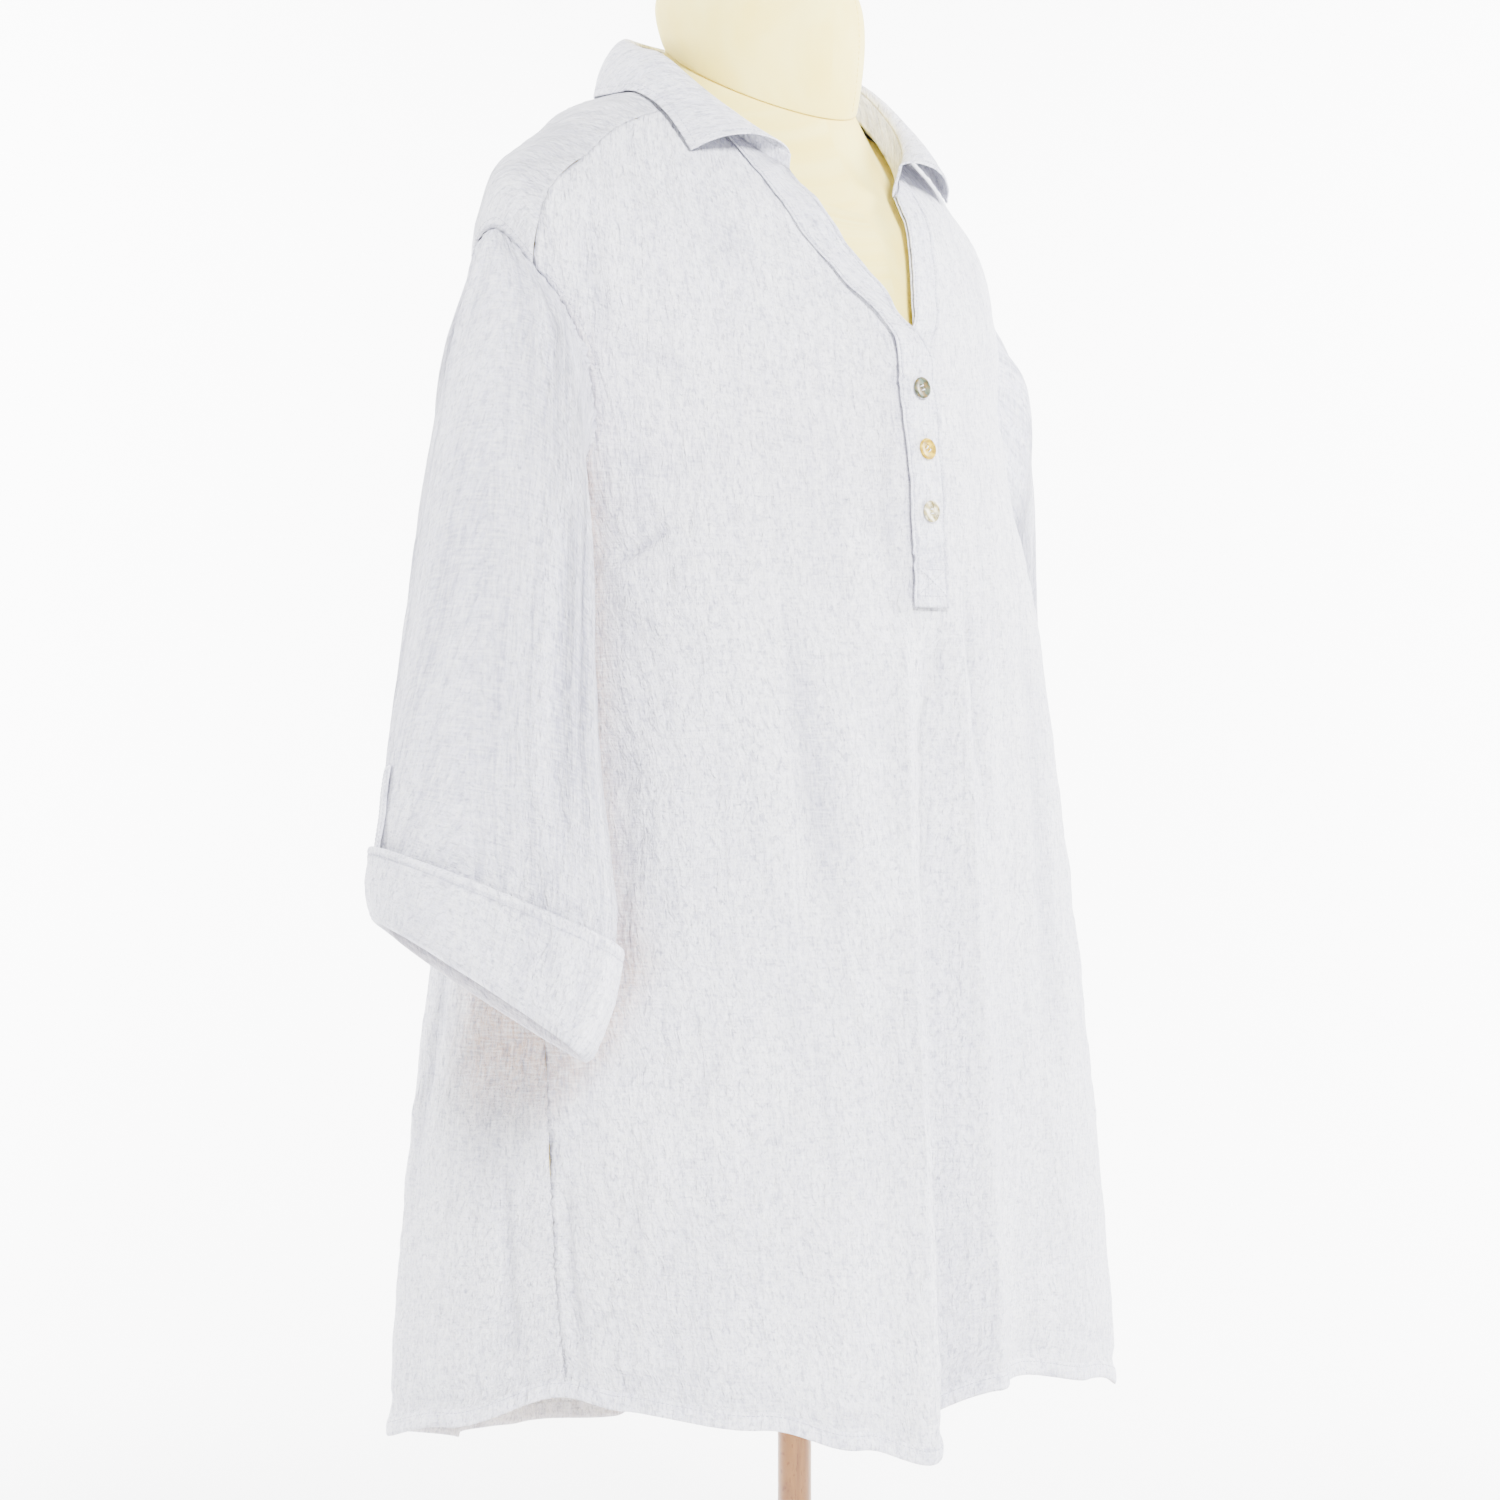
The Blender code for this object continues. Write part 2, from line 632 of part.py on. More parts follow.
def sleeve_at(side, turn, along):
    """The outer face of a sleeve: along 0 is the armhole seam and each ring adds 1."""
    rings = RIGHT_SLEEVE if side < 0 else LEFT_SLEEVE
    angle, level = armhole(turn)
    middle = (UNDERARM_LEVEL + ARMHOLE_TOP_LEVEL) / 2
    angle = 90 + (angle - 90) * ARMHOLE_SHRINK
    level = middle + (level - middle) * ARMHOLE_SHRINK
    clear = UNDERARM_CLEAR * (1 - math.cos(math.radians(turn))) / 2
    start = body_out(side * angle, level, clear)
    line = [start] + [sleeve_ring_point(ring, side, turn) for ring in rings]
    past = along - (len(line) - 1)
    if past > 0:
        return line[-1] + (line[-1] - line[-2]) * past
    return spline(line, along)


def sleeve_normal(side, turn, along):
    around = sleeve_at(side, turn + 2, along) - sleeve_at(side, turn - 2, along)
    down = sleeve_at(side, turn, along + 0.05) - sleeve_at(side, turn, max(along - 0.05, 0))
    return (around.cross(down) * side).normalized()


def sleeve_out(side, turn, along, out):
    return sleeve_at(side, turn, along) + sleeve_normal(side, turn, along) * (out * MM)


SLEEVE_PLACES = [0, 0.35, 0.8, 1.4, 2.1, 2.9, 3.8, 4.8, 5.8, 6.8, 7.6, 8.3, 9.0, SLEEVE_END]


def build_sleeve(name, side):
    points, normals, faces = {}, {}, []
    for i, along in enumerate(SLEEVE_PLACES):
        for j in range(SLEEVE_TURNS):
            turn = 360 * j / SLEEVE_TURNS
            points[(i, j)] = sleeve_at(side, turn, along)
            normals[(i, j)] = sleeve_normal(side, turn, along)
    for i in range(len(SLEEVE_PLACES) - 1):
        for j in range(SLEEVE_TURNS):
            k = (j + 1) % SLEEVE_TURNS
            quad = [(i, j), (i, k), (i + 1, k), (i + 1, j)]
            faces.append(quad if side > 0 else quad[::-1])
    return cloth_piece(name, points, normals, faces)


def build_cuff(name, side):
    """The turned-up end: an outer layer, a fold round the sleeve's edge and a short inner layer."""
    rings = []
    for row in CUFF_PROFILE:
        rings.append([
            sleeve_out(side, 360 * j / SLEEVE_TURNS, row.along, row.out)
            for j in range(SLEEVE_TURNS)
        ])
    return loft(name, rings, "voile doubled", closed_profile=True)


TAB_TURN = 302.0
TAB_HALF_TURN = 7.0
TAB_TOP = 6.7             # places along the sleeve
TAB_END = 8.62
TAB_ROWS = 6
TAB_COLUMNS = 3
TAB_LIFT = 0.4            # a tab stands this much further off the sleeve than a seam gap


def build_tab(name, side):
    rows, normals = [], []
    for i in range(TAB_ROWS + 1):
        share = i / TAB_ROWS
        along = TAB_TOP + (TAB_END - TAB_TOP) * share
        half = TAB_HALF_TURN * (1 - 0.3 * smooth((share - 0.5) * 2))
        row, direction = [], []
        for j in range(TAB_COLUMNS + 1):
            turn = TAB_TURN + half * (2 * j / TAB_COLUMNS - 1)
            row.append(sleeve_out(side, turn, along, SEAM_GAP + CLOTH + TAB_LIFT))
            direction.append(sleeve_normal(side, turn, along))
        rows.append(row)
        normals.append(direction)
    return grid_piece(name, rows, normals, CLOTH, "voile doubled")


PLACKET_RIGHT_LEVELS = [
    3.88, 4.2, 4.6, 5.1, 5.8, 6.6, 7.4, 8.2, 8.8, 9.3, 9.8, 10.4, 11.0, 11.6, 12.3, 12.98,
]
PLACKET_LEFT_LEVELS = [
    3.95, 4.3, 4.8, 5.4, 6.2, 7.0, 7.8, 8.5, 9.0, 9.6, 10.2, 10.8, 11.5, 12.2, 12.98,
]
STRIP_COLUMNS = 4


def placket_right_edges(level):
    """X of the upper strip's outer and inner edges, and its height off the panel."""
    inner = v_edge_x(-1, level)
    in_v = smooth((level - 8.9) / 1.2)
    outer = -PLACKET_HALF_WIDTH + (inner - BAND_WIDTH + PLACKET_HALF_WIDTH) * in_v
    narrowing = smooth((level - 8.5) / 1.1)
    inner = PLACKET_HALF_WIDTH + (inner - PLACKET_HALF_WIDTH) * narrowing
    return outer, inner, BAND_OUT + BAND_STEP * (1 - smooth(level - 9.8))


def placket_left_edges(level):
    """The same for the under strip, which lies behind the buttons and then along the V."""
    half = PLACKET_HALF_WIDTH - UNDER_STRIP_INSET
    edge = v_edge_x(1, level)
    in_v = smooth((level - 8.4) / 1.2)
    return -half + (edge + half) * in_v, half + (edge + BAND_WIDTH - half) * in_v, BAND_OUT


def build_strip(name, levels, edges_of):
    rows, normals = [], []
    for level in levels:
        start, end, out = edges_of(level)
        row, direction = [], []
        for j in range(STRIP_COLUMNS + 1):
            angle = angle_of(level, start + (end - start) * j / STRIP_COLUMNS)
            row.append(body_out(angle, level, out))
            direction.append(body_normal(angle, level))
        rows.append(row)
        normals.append(direction)
    return grid_piece(name, rows, normals, BAND_WALL, "voile doubled")


Button = namedtuple("Button", "name height shell")
BUTTONS = [
    Button("button_top", 207.5, "shell green"),
    Button("button_middle", 172.0, "shell gold"),
    Button("button_bottom", 136.5, "shell cream"),
]
ButtonRing = namedtuple("ButtonRing", "radius depth")
BUTTON_PROFILE = [         # shares of the button's radius and thickness
    ButtonRing(0.80, 0.0),
    ButtonRing(1.00, 0.35),
    ButtonRing(1.00, 0.70),
    ButtonRing(0.92, 1.0),
    ButtonRing(0.72, 0.92),
    ButtonRing(0.45, 0.72),
]
BUTTON_SIDES = 14
BUTTON_LIFT = 0.45         # air between a button's back and the placket


def level_of_height(height):
    """The level at which the centre front reaches a height."""
    low, high = 0.5, NECK_LEVEL
    for _ in range(40):
        middle = (low + high) / 2
        if table_at(SECTIONS, middle).front_height < height:
            low = middle
        else:
            high = middle
    return (low + high) / 2


def build_button(row):
    """A small turned disc with a dished face, lying flat on the placket."""
    level = level_of_height(row.height)
    centre = body_out(0, level, BAND_OUT + BAND_STEP + BUTTON_LIFT)
    facing = body_normal(0, level)
    across = Vector((1, 0, 0))
    upward = facing.cross(across)
    rings = []
    for place in BUTTON_PROFILE:
        ring = []
        for j in range(BUTTON_SIDES):
            turn = 2 * math.pi * j / BUTTON_SIDES
            spoke = across * math.cos(turn) + upward * math.sin(turn)
            spoke *= place.radius * BUTTON_RADIUS * MM
            ring.append(centre + spoke + facing * (place.depth * BUTTON_THICKNESS * MM))
        rings.append(ring)
    return loft(row.name, rings, row.shell)


def collar_rows(count):
    """Evenly spread rows around the neck, from the right front to the left."""
    places = [(len(COLLAR) - 1) * i / (count - 1) for i in range(count)]
    return [table_at(COLLAR, place) for place in places]


def neck_out(angle):
    """The horizontal direction away from the neck at an angle."""
    flat = body_at(angle, NECK_LEVEL) - placed(0, 0, 0)
    flat.z = 0
    return flat.normalized()


STAND_STEPS = 3
STAND_PLACES = 29


def build_collar_stand():
    rows, normals = [], []
    for step in range(STAND_STEPS + 1):
        share = step / STAND_STEPS
        row, direction = [], []
        for place in collar_rows(STAND_PLACES):
            out = neck_out(place.angle)
            foot = body_at(place.angle, NECK_LEVEL) + Vector((0, 0, SEAM_GAP * MM * 1.5))
            rise = place.rise - LEAF_ROLL
            lean = place.lean * share**1.5
            row.append(foot + out * (lean * MM) + Vector((0, 0, rise * share * MM)))
            direction.append(out)
        rows.append(row)
        normals.append(direction)
    return grid_piece("collar_stand", rows, normals, CLOTH, "voile doubled")


LEAF_STEPS = 8
LEAF_PLACES = 33


def leaf_line(place, steps):
    """One line of the collar leaf, from the stand's top over the roll to the outer edge."""
    out = neck_out(place.angle)
    up = Vector((0, 0, 1))
    foot = body_at(place.angle, NECK_LEVEL) + out * ((place.lean - CLOTH) * MM)
    start = foot + up * ((place.rise - LEAF_ROLL + LEAF_GAP) * MM)
    edge = body_out(place.edge_angle, place.edge_level, COLLAR_LIFT)
    fall = (edge - start).length
    first = start + up * (LEAF_ROLL * 2.2 * MM) + out * (0.2 * MM)
    lift = body_normal(place.edge_angle, place.edge_level)
    second = edge + (lift * 0.42 - (edge - start).normalized() * 0.45) * fall
    line = []
    for step in range(steps + 1):
        t = step / steps
        line.append(
            start * (1 - t) ** 3
            + first * (3 * t * (1 - t) ** 2)
            + second * (3 * t**2 * (1 - t))
            + edge * t**3
        )
    return line


def build_collar():
    places = collar_rows(LEAF_PLACES)
    lines = [leaf_line(place, LEAF_STEPS) for place in places]
    normals = []
    for i, line in enumerate(lines):
        direction = []
        for j in range(len(line)):
            around = lines[min(i + 1, len(lines) - 1)][j] - lines[max(i - 1, 0)][j]
            down = line[min(j + 1, len(line) - 1)] - line[max(j - 1, 0)]
            direction.append(around.cross(down).normalized())
        direction[0] = -neck_out(places[i].angle)
        normals.append(direction)
    return grid_piece("collar", lines, normals, CLOTH, "voile doubled")


def form_ring(half_width, middle, front, back, height, count):
    ring = []
    for j in range(count):
        angle = 360 * j / count
        section = Section(height, height, height, half_width, middle, front, back, 2.0, 2.0)
        ring.append(placed(*ring_point(section, angle)))
    return ring


FORM_COLUMNS = 32


def neck_base_height(angle):
    """The neck seam's height: a level cut tipped forward."""
    return 402 - 30 * math.cos(math.radians(angle))


def form_upper_ring(row, count):
    """A ring inside the blouse, near it at the shoulders and clear of it elsewhere."""
    ring = []
    for j in range(count):
        angle = 360 * j / count
        c = math.cos(math.radians(angle))
        end = row.front_gap if c > 0 else row.back_gap
        gap = row.side_gap + (end - row.side_gap) * abs(c) ** 0.8
        normal = body_normal(angle, row.level)
        ring.append(body_at(angle, row.level) - normal * ((CLOTH + gap) * MM))
    return ring


def neck_ring(radius, height_of, count):
    ring = []
    for j in range(count):
        angle = 360 * j / count
        s = math.sin(math.radians(angle))
        c = math.cos(math.radians(angle))
        ring.append(placed(radius * s, -radius * c, height_of(angle)))
    return ring


def build_form_torso():
    rings = [
        form_ring(row.half_width, row.middle, row.front, row.back, row.height, FORM_COLUMNS)
        for row in FORM_LOWER
    ]
    rings += [form_upper_ring(row, FORM_COLUMNS) for row in FORM_UPPER]
    for row in FORM_NECK_BASE:
        def height(angle, row=row):
            c = math.cos(math.radians(angle))
            end = row.front_drop if c > 0 else row.back_drop
            return neck_base_height(angle) - row.side_drop - (end - row.side_drop) * c * c
        rings.append(neck_ring(row.radius, height, FORM_COLUMNS))
    return loft("form_torso", rings, "cream jersey")


NeckRing = namedtuple("NeckRing", "radius share")
NECK = [
    NeckRing(57.0, 0.0),
    NeckRing(58.6, 0.03),
    NeckRing(61.8, 0.30),
    NeckRing(63.0, 0.55),
    NeckRing(61.5, 0.76),
    NeckRing(57.0, 0.89),
    NeckRing(49.0, 0.97),
    NeckRing(40.0, 1.0),
]


def build_form_neck():
    rings = []
    for row in NECK:
        def height(angle, share=row.share):
            low = neck_base_height(angle) + SEAM_GAP
            return low + (FORM_NECK_TOP - low) * share
        rings.append(neck_ring(row.radius, height, FORM_COLUMNS))
    return loft("form_neck", rings, "cream jersey")


def turned(name, profile, material, count=32):
    """A solid turned about the pole's axis from radius and height in millimetres above the floor."""
    rings = []
    for radius, height in profile:
        ring = []
        for j in range(count):
            turn = 2 * math.pi * j / count
            ring.append(Vector((radius * math.cos(turn), radius * math.sin(turn), height)) * MM)
        rings.append(ring)
    return loft(name, rings, material)


def build_stand():
    foot = BASE_THICKNESS
    collar_top = foot + 14
    turned("form_base", [
        (BASE_RADIUS - 3, 0), (BASE_RADIUS, 3), (BASE_RADIUS, foot - 4), (BASE_RADIUS - 4, foot),
        (POLE_RADIUS + 12, foot), (POLE_RADIUS + 11, collar_top - 2),
        (POLE_RADIUS + 8, collar_top),
    ], "turned beech", 36)
    pole_top = WAIST_HEIGHT + FORM_LOWER[0].height - SEAM_GAP
    turned("form_pole", [
        (POLE_RADIUS, collar_top + SEAM_GAP), (POLE_RADIUS, pole_top),
    ], "turned beech", 20)


def main():
    clear_scene()
    build_front()
    build_back()
    build_yoke()
    build_collar_stand()
    build_collar()
    build_strip("placket_right", PLACKET_RIGHT_LEVELS, placket_right_edges)
    build_strip("placket_left", PLACKET_LEFT_LEVELS, placket_left_edges)
    for row in BUTTONS:
        build_button(row)
    for word, side in (("right", -1), ("left", 1)):
        build_sleeve(f"sleeve_{word}", side)
        build_cuff(f"cuff_{word}", side)
        build_tab(f"tab_{word}", side)
    build_form_torso()
    build_form_neck()
    build_stand()


main()
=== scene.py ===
# %% [markdown]
# # Longline blouse on a dress form
#
# The blouse is white cotton voile, crinkled from the wash, on a cream jersey form. This notebook
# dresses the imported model: each cloth panel becomes a thin shell on the same surface, with its
# creases, hems and stitches, and the form and its stand get their own finishes.

# %% Frame and tools
import math
from collections import namedtuple

import bpy
import numpy as np
from mathutils import Matrix, Vector


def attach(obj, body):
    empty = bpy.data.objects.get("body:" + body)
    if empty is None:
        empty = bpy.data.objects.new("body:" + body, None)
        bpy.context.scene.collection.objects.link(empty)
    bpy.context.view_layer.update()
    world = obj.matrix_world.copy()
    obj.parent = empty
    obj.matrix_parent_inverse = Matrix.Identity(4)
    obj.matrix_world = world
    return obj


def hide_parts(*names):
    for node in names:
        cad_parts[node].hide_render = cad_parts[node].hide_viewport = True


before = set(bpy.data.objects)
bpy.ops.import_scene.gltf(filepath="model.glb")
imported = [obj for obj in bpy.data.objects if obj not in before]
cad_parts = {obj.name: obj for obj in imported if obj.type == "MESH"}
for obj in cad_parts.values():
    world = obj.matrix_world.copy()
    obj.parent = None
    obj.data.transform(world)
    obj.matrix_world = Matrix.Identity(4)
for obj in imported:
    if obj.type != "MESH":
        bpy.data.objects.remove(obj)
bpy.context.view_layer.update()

print("nodes", len(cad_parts))

# %% [markdown]
# The camera stands level with the waist, 43 degrees round to the wearer's right, far enough
# back that the blouse fills the frame. A pixel of the photograph is 0.6 mm at the neck.

# %% Camera
WAIST_HEIGHT = 570.0
NECK_BEHIND_POLE = 30.0
MM = 0.001
VIEW_TURN = math.radians(43)
CAMERA_DISTANCE = 2.330
NECK_RIGHT_OF_MIDDLE = 0.006
FRAME_WIDTH_AT_NECK = 0.900
SENSOR_WIDTH = 36.0

away = Vector((math.sin(VIEW_TURN), math.cos(VIEW_TURN), 0))
across = Vector((math.cos(VIEW_TURN), -math.sin(VIEW_TURN), 0))
neck_axis = Vector((0, NECK_BEHIND_POLE * MM, WAIST_HEIGHT * MM))
camera_data = bpy.data.cameras.new("camera")
camera_data.sensor_width = SENSOR_WIDTH
camera_data.lens = SENSOR_WIDTH * CAMERA_DISTANCE / FRAME_WIDTH_AT_NECK
camera_data.clip_end = 50
camera = bpy.data.objects.new("camera", camera_data)
camera.location = neck_axis - away * CAMERA_DISTANCE - across * NECK_RIGHT_OF_MIDDLE
camera.rotation_euler = (math.radians(90), 0, -VIEW_TURN)
bpy.context.scene.collection.objects.link(camera)
bpy.context.scene.camera = camera
print("lens", round(camera_data.lens, 1))

# %% [markdown]
# Colours are written as the hex values a paint chart would use, and every material is a small
# tree of nodes. One function adds a node with its settings and its links.

# %% Node helpers


def linear(hex_colour):
    """A sRGB hex colour as linear RGBA."""
    values = [int(hex_colour[i:i + 2], 16) / 255 for i in (1, 3, 5)]
    return (*(v / 12.92 if v <= 0.04045 else ((v + 0.055) / 1.055) ** 2.4 for v in values), 1.0)


def add(tree, kind, links=None, **settings):
    """A new node: settings name its properties or its inputs, and links its incoming sockets."""
    node = tree.nodes.new(kind)
    for name, value in settings.items():
        if hasattr(node, name):
            setattr(node, name, value)
        else:
            node.inputs[name.replace("_", " ")].default_value = value
    for name, socket in (links or {}).items():
        tree.links.new(socket, node.inputs[name])
    return node


def new_material(name):
    material = bpy.data.materials.new(name)
    material.use_nodes = True
    tree = material.node_tree
    shader = tree.nodes["Principled BSDF"]
    return material, tree, shader


def scaled_place(tree, x_mm, y_mm, z_mm=1.0, source="UV"):
    """Coordinates in which one unit is the given number of millimetres along each axis."""
    place = add(tree, "ShaderNodeTexCoord")
    mapping = add(tree, "ShaderNodeMapping", {"Vector": place.outputs[source]})
    mapping.inputs["Scale"].default_value = (1000 / x_mm, 1000 / y_mm, 1000 / z_mm)
    return mapping.outputs["Vector"]


def mixed(tree, factor, first, second):
    """A colour between two, by a factor socket."""
    mix = add(tree, "ShaderNodeMix", data_type="RGBA")
    tree.links.new(factor, mix.inputs[0])
    for socket, colour in ((mix.inputs[6], first), (mix.inputs[7], second)):
        if isinstance(colour, tuple):
            socket.default_value = colour
        else:
            tree.links.new(colour, socket)
    return mix.outputs[2]


def ranged(tree, value, low, high, to_low=0.0, to_high=1.0):
    node = add(tree, "ShaderNodeMapRange", {"Value": value}, From_Min=low, From_Max=high)
    node.inputs["To Min"].default_value = to_low
    node.inputs["To Max"].default_value = to_high
    return node.outputs["Result"]


def bumped(tree, shader, heights):
    """Bump nodes in a chain, each from a height socket, a depth in millimetres and a strength."""
    normal = None
    for height, depth, strength in heights:
        bump = add(tree, "ShaderNodeBump", {"Height": height})
        bump.inputs["Distance"].default_value = depth * MM
        bump.inputs["Strength"].default_value = strength
        if normal:
            tree.links.new(normal, bump.inputs["Normal"])
        normal = bump.outputs["Normal"]
    tree.links.new(normal, shader.inputs["Normal"])


# %% [markdown]
# The voile is a loose plain weave of spun cotton. Its threads are uneven, so slubs run both
# ways, and washing has left a fine crinkle, a few millimetres across and longer down the cloth
# than across it. Real threads lie about 0.4 mm apart, too fine to show here, so the weave is
# drawn twice as coarse. White cloth shades itself mostly in its folds. Light alone makes that
# too faint on a thin shell, so two marks on the mesh paint shade into the colour: one by how
# deep a point lies in a fold or seam, and one as a warm tint, which is painted shade beside the
# right sleeve and in the cuffs, and the cream form painted as showing through over the bust.
# The crinkle's valleys are painted darker as shade too.

# %% Cloth materials
THREAD_PITCH = 0.9      # mm between threads that show
TEXTURE_UNIT = 20.0     # a wave texture of scale 1 has this many radians to a unit
STREAK_SHADE = linear("#ADADC2")
# Painted shade in the valleys of the crinkle.
CRINKLE_SHADE = linear("#9494AA")
GRAIN_SHADE = linear("#9C9CB0")
# Painted shade in folds and at seams.
FOLD_SHADE = linear("#A6A6BC")
THIN_THREADS = linear("#FBFBFC")


def voile(name, lit, shade, warm, crinkle_depth, streakiness):
    """Crinkled cotton voile. Every scale is a size in millimetres, across and down the cloth."""
    material, tree, shader = new_material(name)
    in_mm = scaled_place(tree, 1.0, 1.0)
    pitch_scale = 2 * math.pi / THREAD_PITCH / TEXTURE_UNIT
    warp = add(tree, "ShaderNodeTexWave", {"Vector": in_mm}, bands_direction="X",
               Scale=pitch_scale, Distortion=0.8, Detail=1.0)
    weft = add(tree, "ShaderNodeTexWave", {"Vector": in_mm}, bands_direction="Y",
               Scale=pitch_scale, Distortion=0.8, Detail=1.0)
    weave = add(tree, "ShaderNodeMath", {0: warp.outputs["Fac"], 1: weft.outputs["Fac"]},
                operation="MULTIPLY")
    across_slubs = add(tree, "ShaderNodeTexNoise", {"Vector": scaled_place(tree, 9.0, 1.3)},
                       Scale=1.0, Detail=2.0)
    down_slubs = add(tree, "ShaderNodeTexNoise", {"Vector": scaled_place(tree, 1.4, 11.0)},
                     Scale=1.0, Detail=2.0)
    slubs = add(tree, "ShaderNodeMath",
                {0: across_slubs.outputs["Fac"], 1: down_slubs.outputs["Fac"]}, operation="ADD")
    crinkle = add(tree, "ShaderNodeTexNoise", {"Vector": scaled_place(tree, 2.6, 5.2)},
                  Scale=1.0, Detail=5.0, Roughness=0.62, Distortion=0.8)
    ripples = add(tree, "ShaderNodeTexNoise", {"Vector": scaled_place(tree, 13.0, 34.0)},
                  Scale=1.0, Detail=3.0, Distortion=1.2)
    streaks = add(tree, "ShaderNodeTexNoise", {"Vector": scaled_place(tree, 6.0, 150.0)},
                  Scale=1.0, Detail=3.0, Distortion=0.3)
    patches = add(tree, "ShaderNodeTexNoise", {"Vector": scaled_place(tree, 70.0, 120.0)},
                  Scale=1.0, Detail=2.0)
    tone = mixed(tree, ranged(tree, patches.outputs["Fac"], 0.35, 0.65), shade, lit)
    # Painted warm tint from a mesh mark: shade by the sleeve and in the cuffs, and the form showing
    # through.
    painted_show_through_and_shade = add(tree, "ShaderNodeAttribute", attribute_name="painted_show_through_and_shade")
    tone = mixed(tree, painted_show_through_and_shade.outputs["Fac"], tone, warm)
    # Painted shade from a mesh mark, in folds and at seams.
    hollow = add(tree, "ShaderNodeAttribute", attribute_name="hollow")
    tone = mixed(tree, ranged(tree, hollow.outputs["Fac"], 0.0, 1.0, 0.0, 0.62), tone,
                 FOLD_SHADE)
    tone = mixed(tree, ranged(tree, streaks.outputs["Fac"], 0.47, 0.64, 0.0, streakiness), tone,
                 STREAK_SHADE)
    # Painted shade in the crinkle's valleys, where its bump is low.
    tone = mixed(tree, ranged(tree, crinkle.outputs["Fac"], 0.53, 0.33, 0.0, 0.75), tone,
                 CRINKLE_SHADE)
    grain = add(tree, "ShaderNodeTexNoise", {"Vector": scaled_place(tree, 1.1, 1.7)},
                Scale=1.0, Detail=2.0)
    tone = mixed(tree, ranged(tree, grain.outputs["Fac"], 0.48, 0.30, 0.0, 0.6), tone,
                 GRAIN_SHADE)
    thin = ranged(tree, slubs.outputs["Value"], 0.85, 1.3, 0.0, 0.6)
    tone = mixed(tree, thin, tone, THIN_THREADS)
    tree.links.new(tone, shader.inputs["Base Color"])
    tree.links.new(ranged(tree, crinkle.outputs["Fac"], 0.3, 0.7, 0.78, 0.92),
                   shader.inputs["Roughness"])
    shader.inputs["Sheen Weight"].default_value = 0.15
    shader.inputs["Sheen Roughness"].default_value = 0.45
    shader.inputs["Specular IOR Level"].default_value = 0.25
    bumped(tree, shader, [
        (ripples.outputs["Fac"], 4.0, 0.9),
        (crinkle.outputs["Fac"], crinkle_depth, 1.0),
        (slubs.outputs["Value"], 0.5, 0.8),
        (weave.outputs["Value"], 0.16, 0.7),
    ])
    return material


# Painted warm colour: shade by the right sleeve and in the cuffs, and the cream form showing
# through.
WARM_SHADE = linear("#CFAE98")
VOILE = voile("crinkled cotton voile", linear("#F2F2FA"), linear("#E6E6F1"), WARM_SHADE, 1.9, 0.25)
# The sleeves get a darker copy of the voile, which paints the shade they hang in.
VOILE_SLEEVE_SHADED = voile("crinkled cotton voile, streaked", linear("#E9E9F5"), linear("#D8D8E8"),
                     WARM_SHADE, 1.9, 0.8)
VOILE_DOUBLED = voile("doubled cotton voile", linear("#F2F2FC"), linear("#E6E6F4"), WARM_SHADE,
                      1.5, 0.35)


def thread_material(name, dark, light):
    material, tree, shader = new_material(name)
    in_mm = scaled_place(tree, 1.0, 1.0, source="Object")
    twist = add(tree, "ShaderNodeTexWave", {"Vector": in_mm}, bands_direction="DIAGONAL",
                Scale=2 * math.pi / 0.5 / TEXTURE_UNIT)
    tree.links.new(mixed(tree, twist.outputs["Fac"], dark, light), shader.inputs["Base Color"])
    shader.inputs["Roughness"].default_value = 0.55
    shader.inputs["Sheen Weight"].default_value = 0.3
    bumped(tree, shader, [(twist.outputs["Fac"], 0.08, 0.5)])
    return material


# White cotton thread, greyed here to paint the small shadows round each stitch.
STITCH_SHADE_THREAD = thread_material("spun cotton thread, greyed as painted stitch shade", linear("#9A9AAE"), linear("#C8C8D8"))
BUTTON_THREAD = thread_material("white button thread", linear("#E9E9EE"), linear("#FCFCFE"))

# %% [markdown]
# Each shell button was cut from a different shell, so each has its own pair of colours, in
# growth layers that run across it. The jersey is a fine rib, and the beech has long grain.

# %% Shell, jersey and beech


def shell_material(name, dark, light, rim):
    material, tree, shader = new_material(name)
    layers = add(tree, "ShaderNodeTexWave", {"Vector": scaled_place(tree, 1.0, 1.0, 1.6, "Object")},
                 bands_direction="DIAGONAL", Scale=0.10, Distortion=5.0, Detail=3.0)
    cloud = add(tree, "ShaderNodeTexNoise", {"Vector": scaled_place(tree, 3.0, 3.0, 3.0, "Object")},
                Scale=1.0, Detail=3.0)
    tone = mixed(tree, layers.outputs["Fac"], dark, light)
    tone = mixed(tree, ranged(tree, cloud.outputs["Fac"], 0.5, 0.7), tone, rim)
    tree.links.new(tone, shader.inputs["Base Color"])
    tree.links.new(ranged(tree, cloud.outputs["Fac"], 0.3, 0.7, 0.28, 0.45),
                   shader.inputs["Roughness"])
    shader.inputs["Specular IOR Level"].default_value = 0.3
    bumped(tree, shader, [(layers.outputs["Fac"], 0.10, 0.4)])
    return material


SHELLS = {
    "button_top": shell_material("grey-green shell", linear("#3A3822"), linear("#6E5A30"),
                                 linear("#4B6354")),
    "button_middle": shell_material("golden shell", linear("#A8860A"), linear("#D6B526"),
                                    linear("#80660A")),
    "button_bottom": shell_material("cream shell", linear("#A89C68"), linear("#E9E2C8"),
                                    linear("#5A4E22")),
}


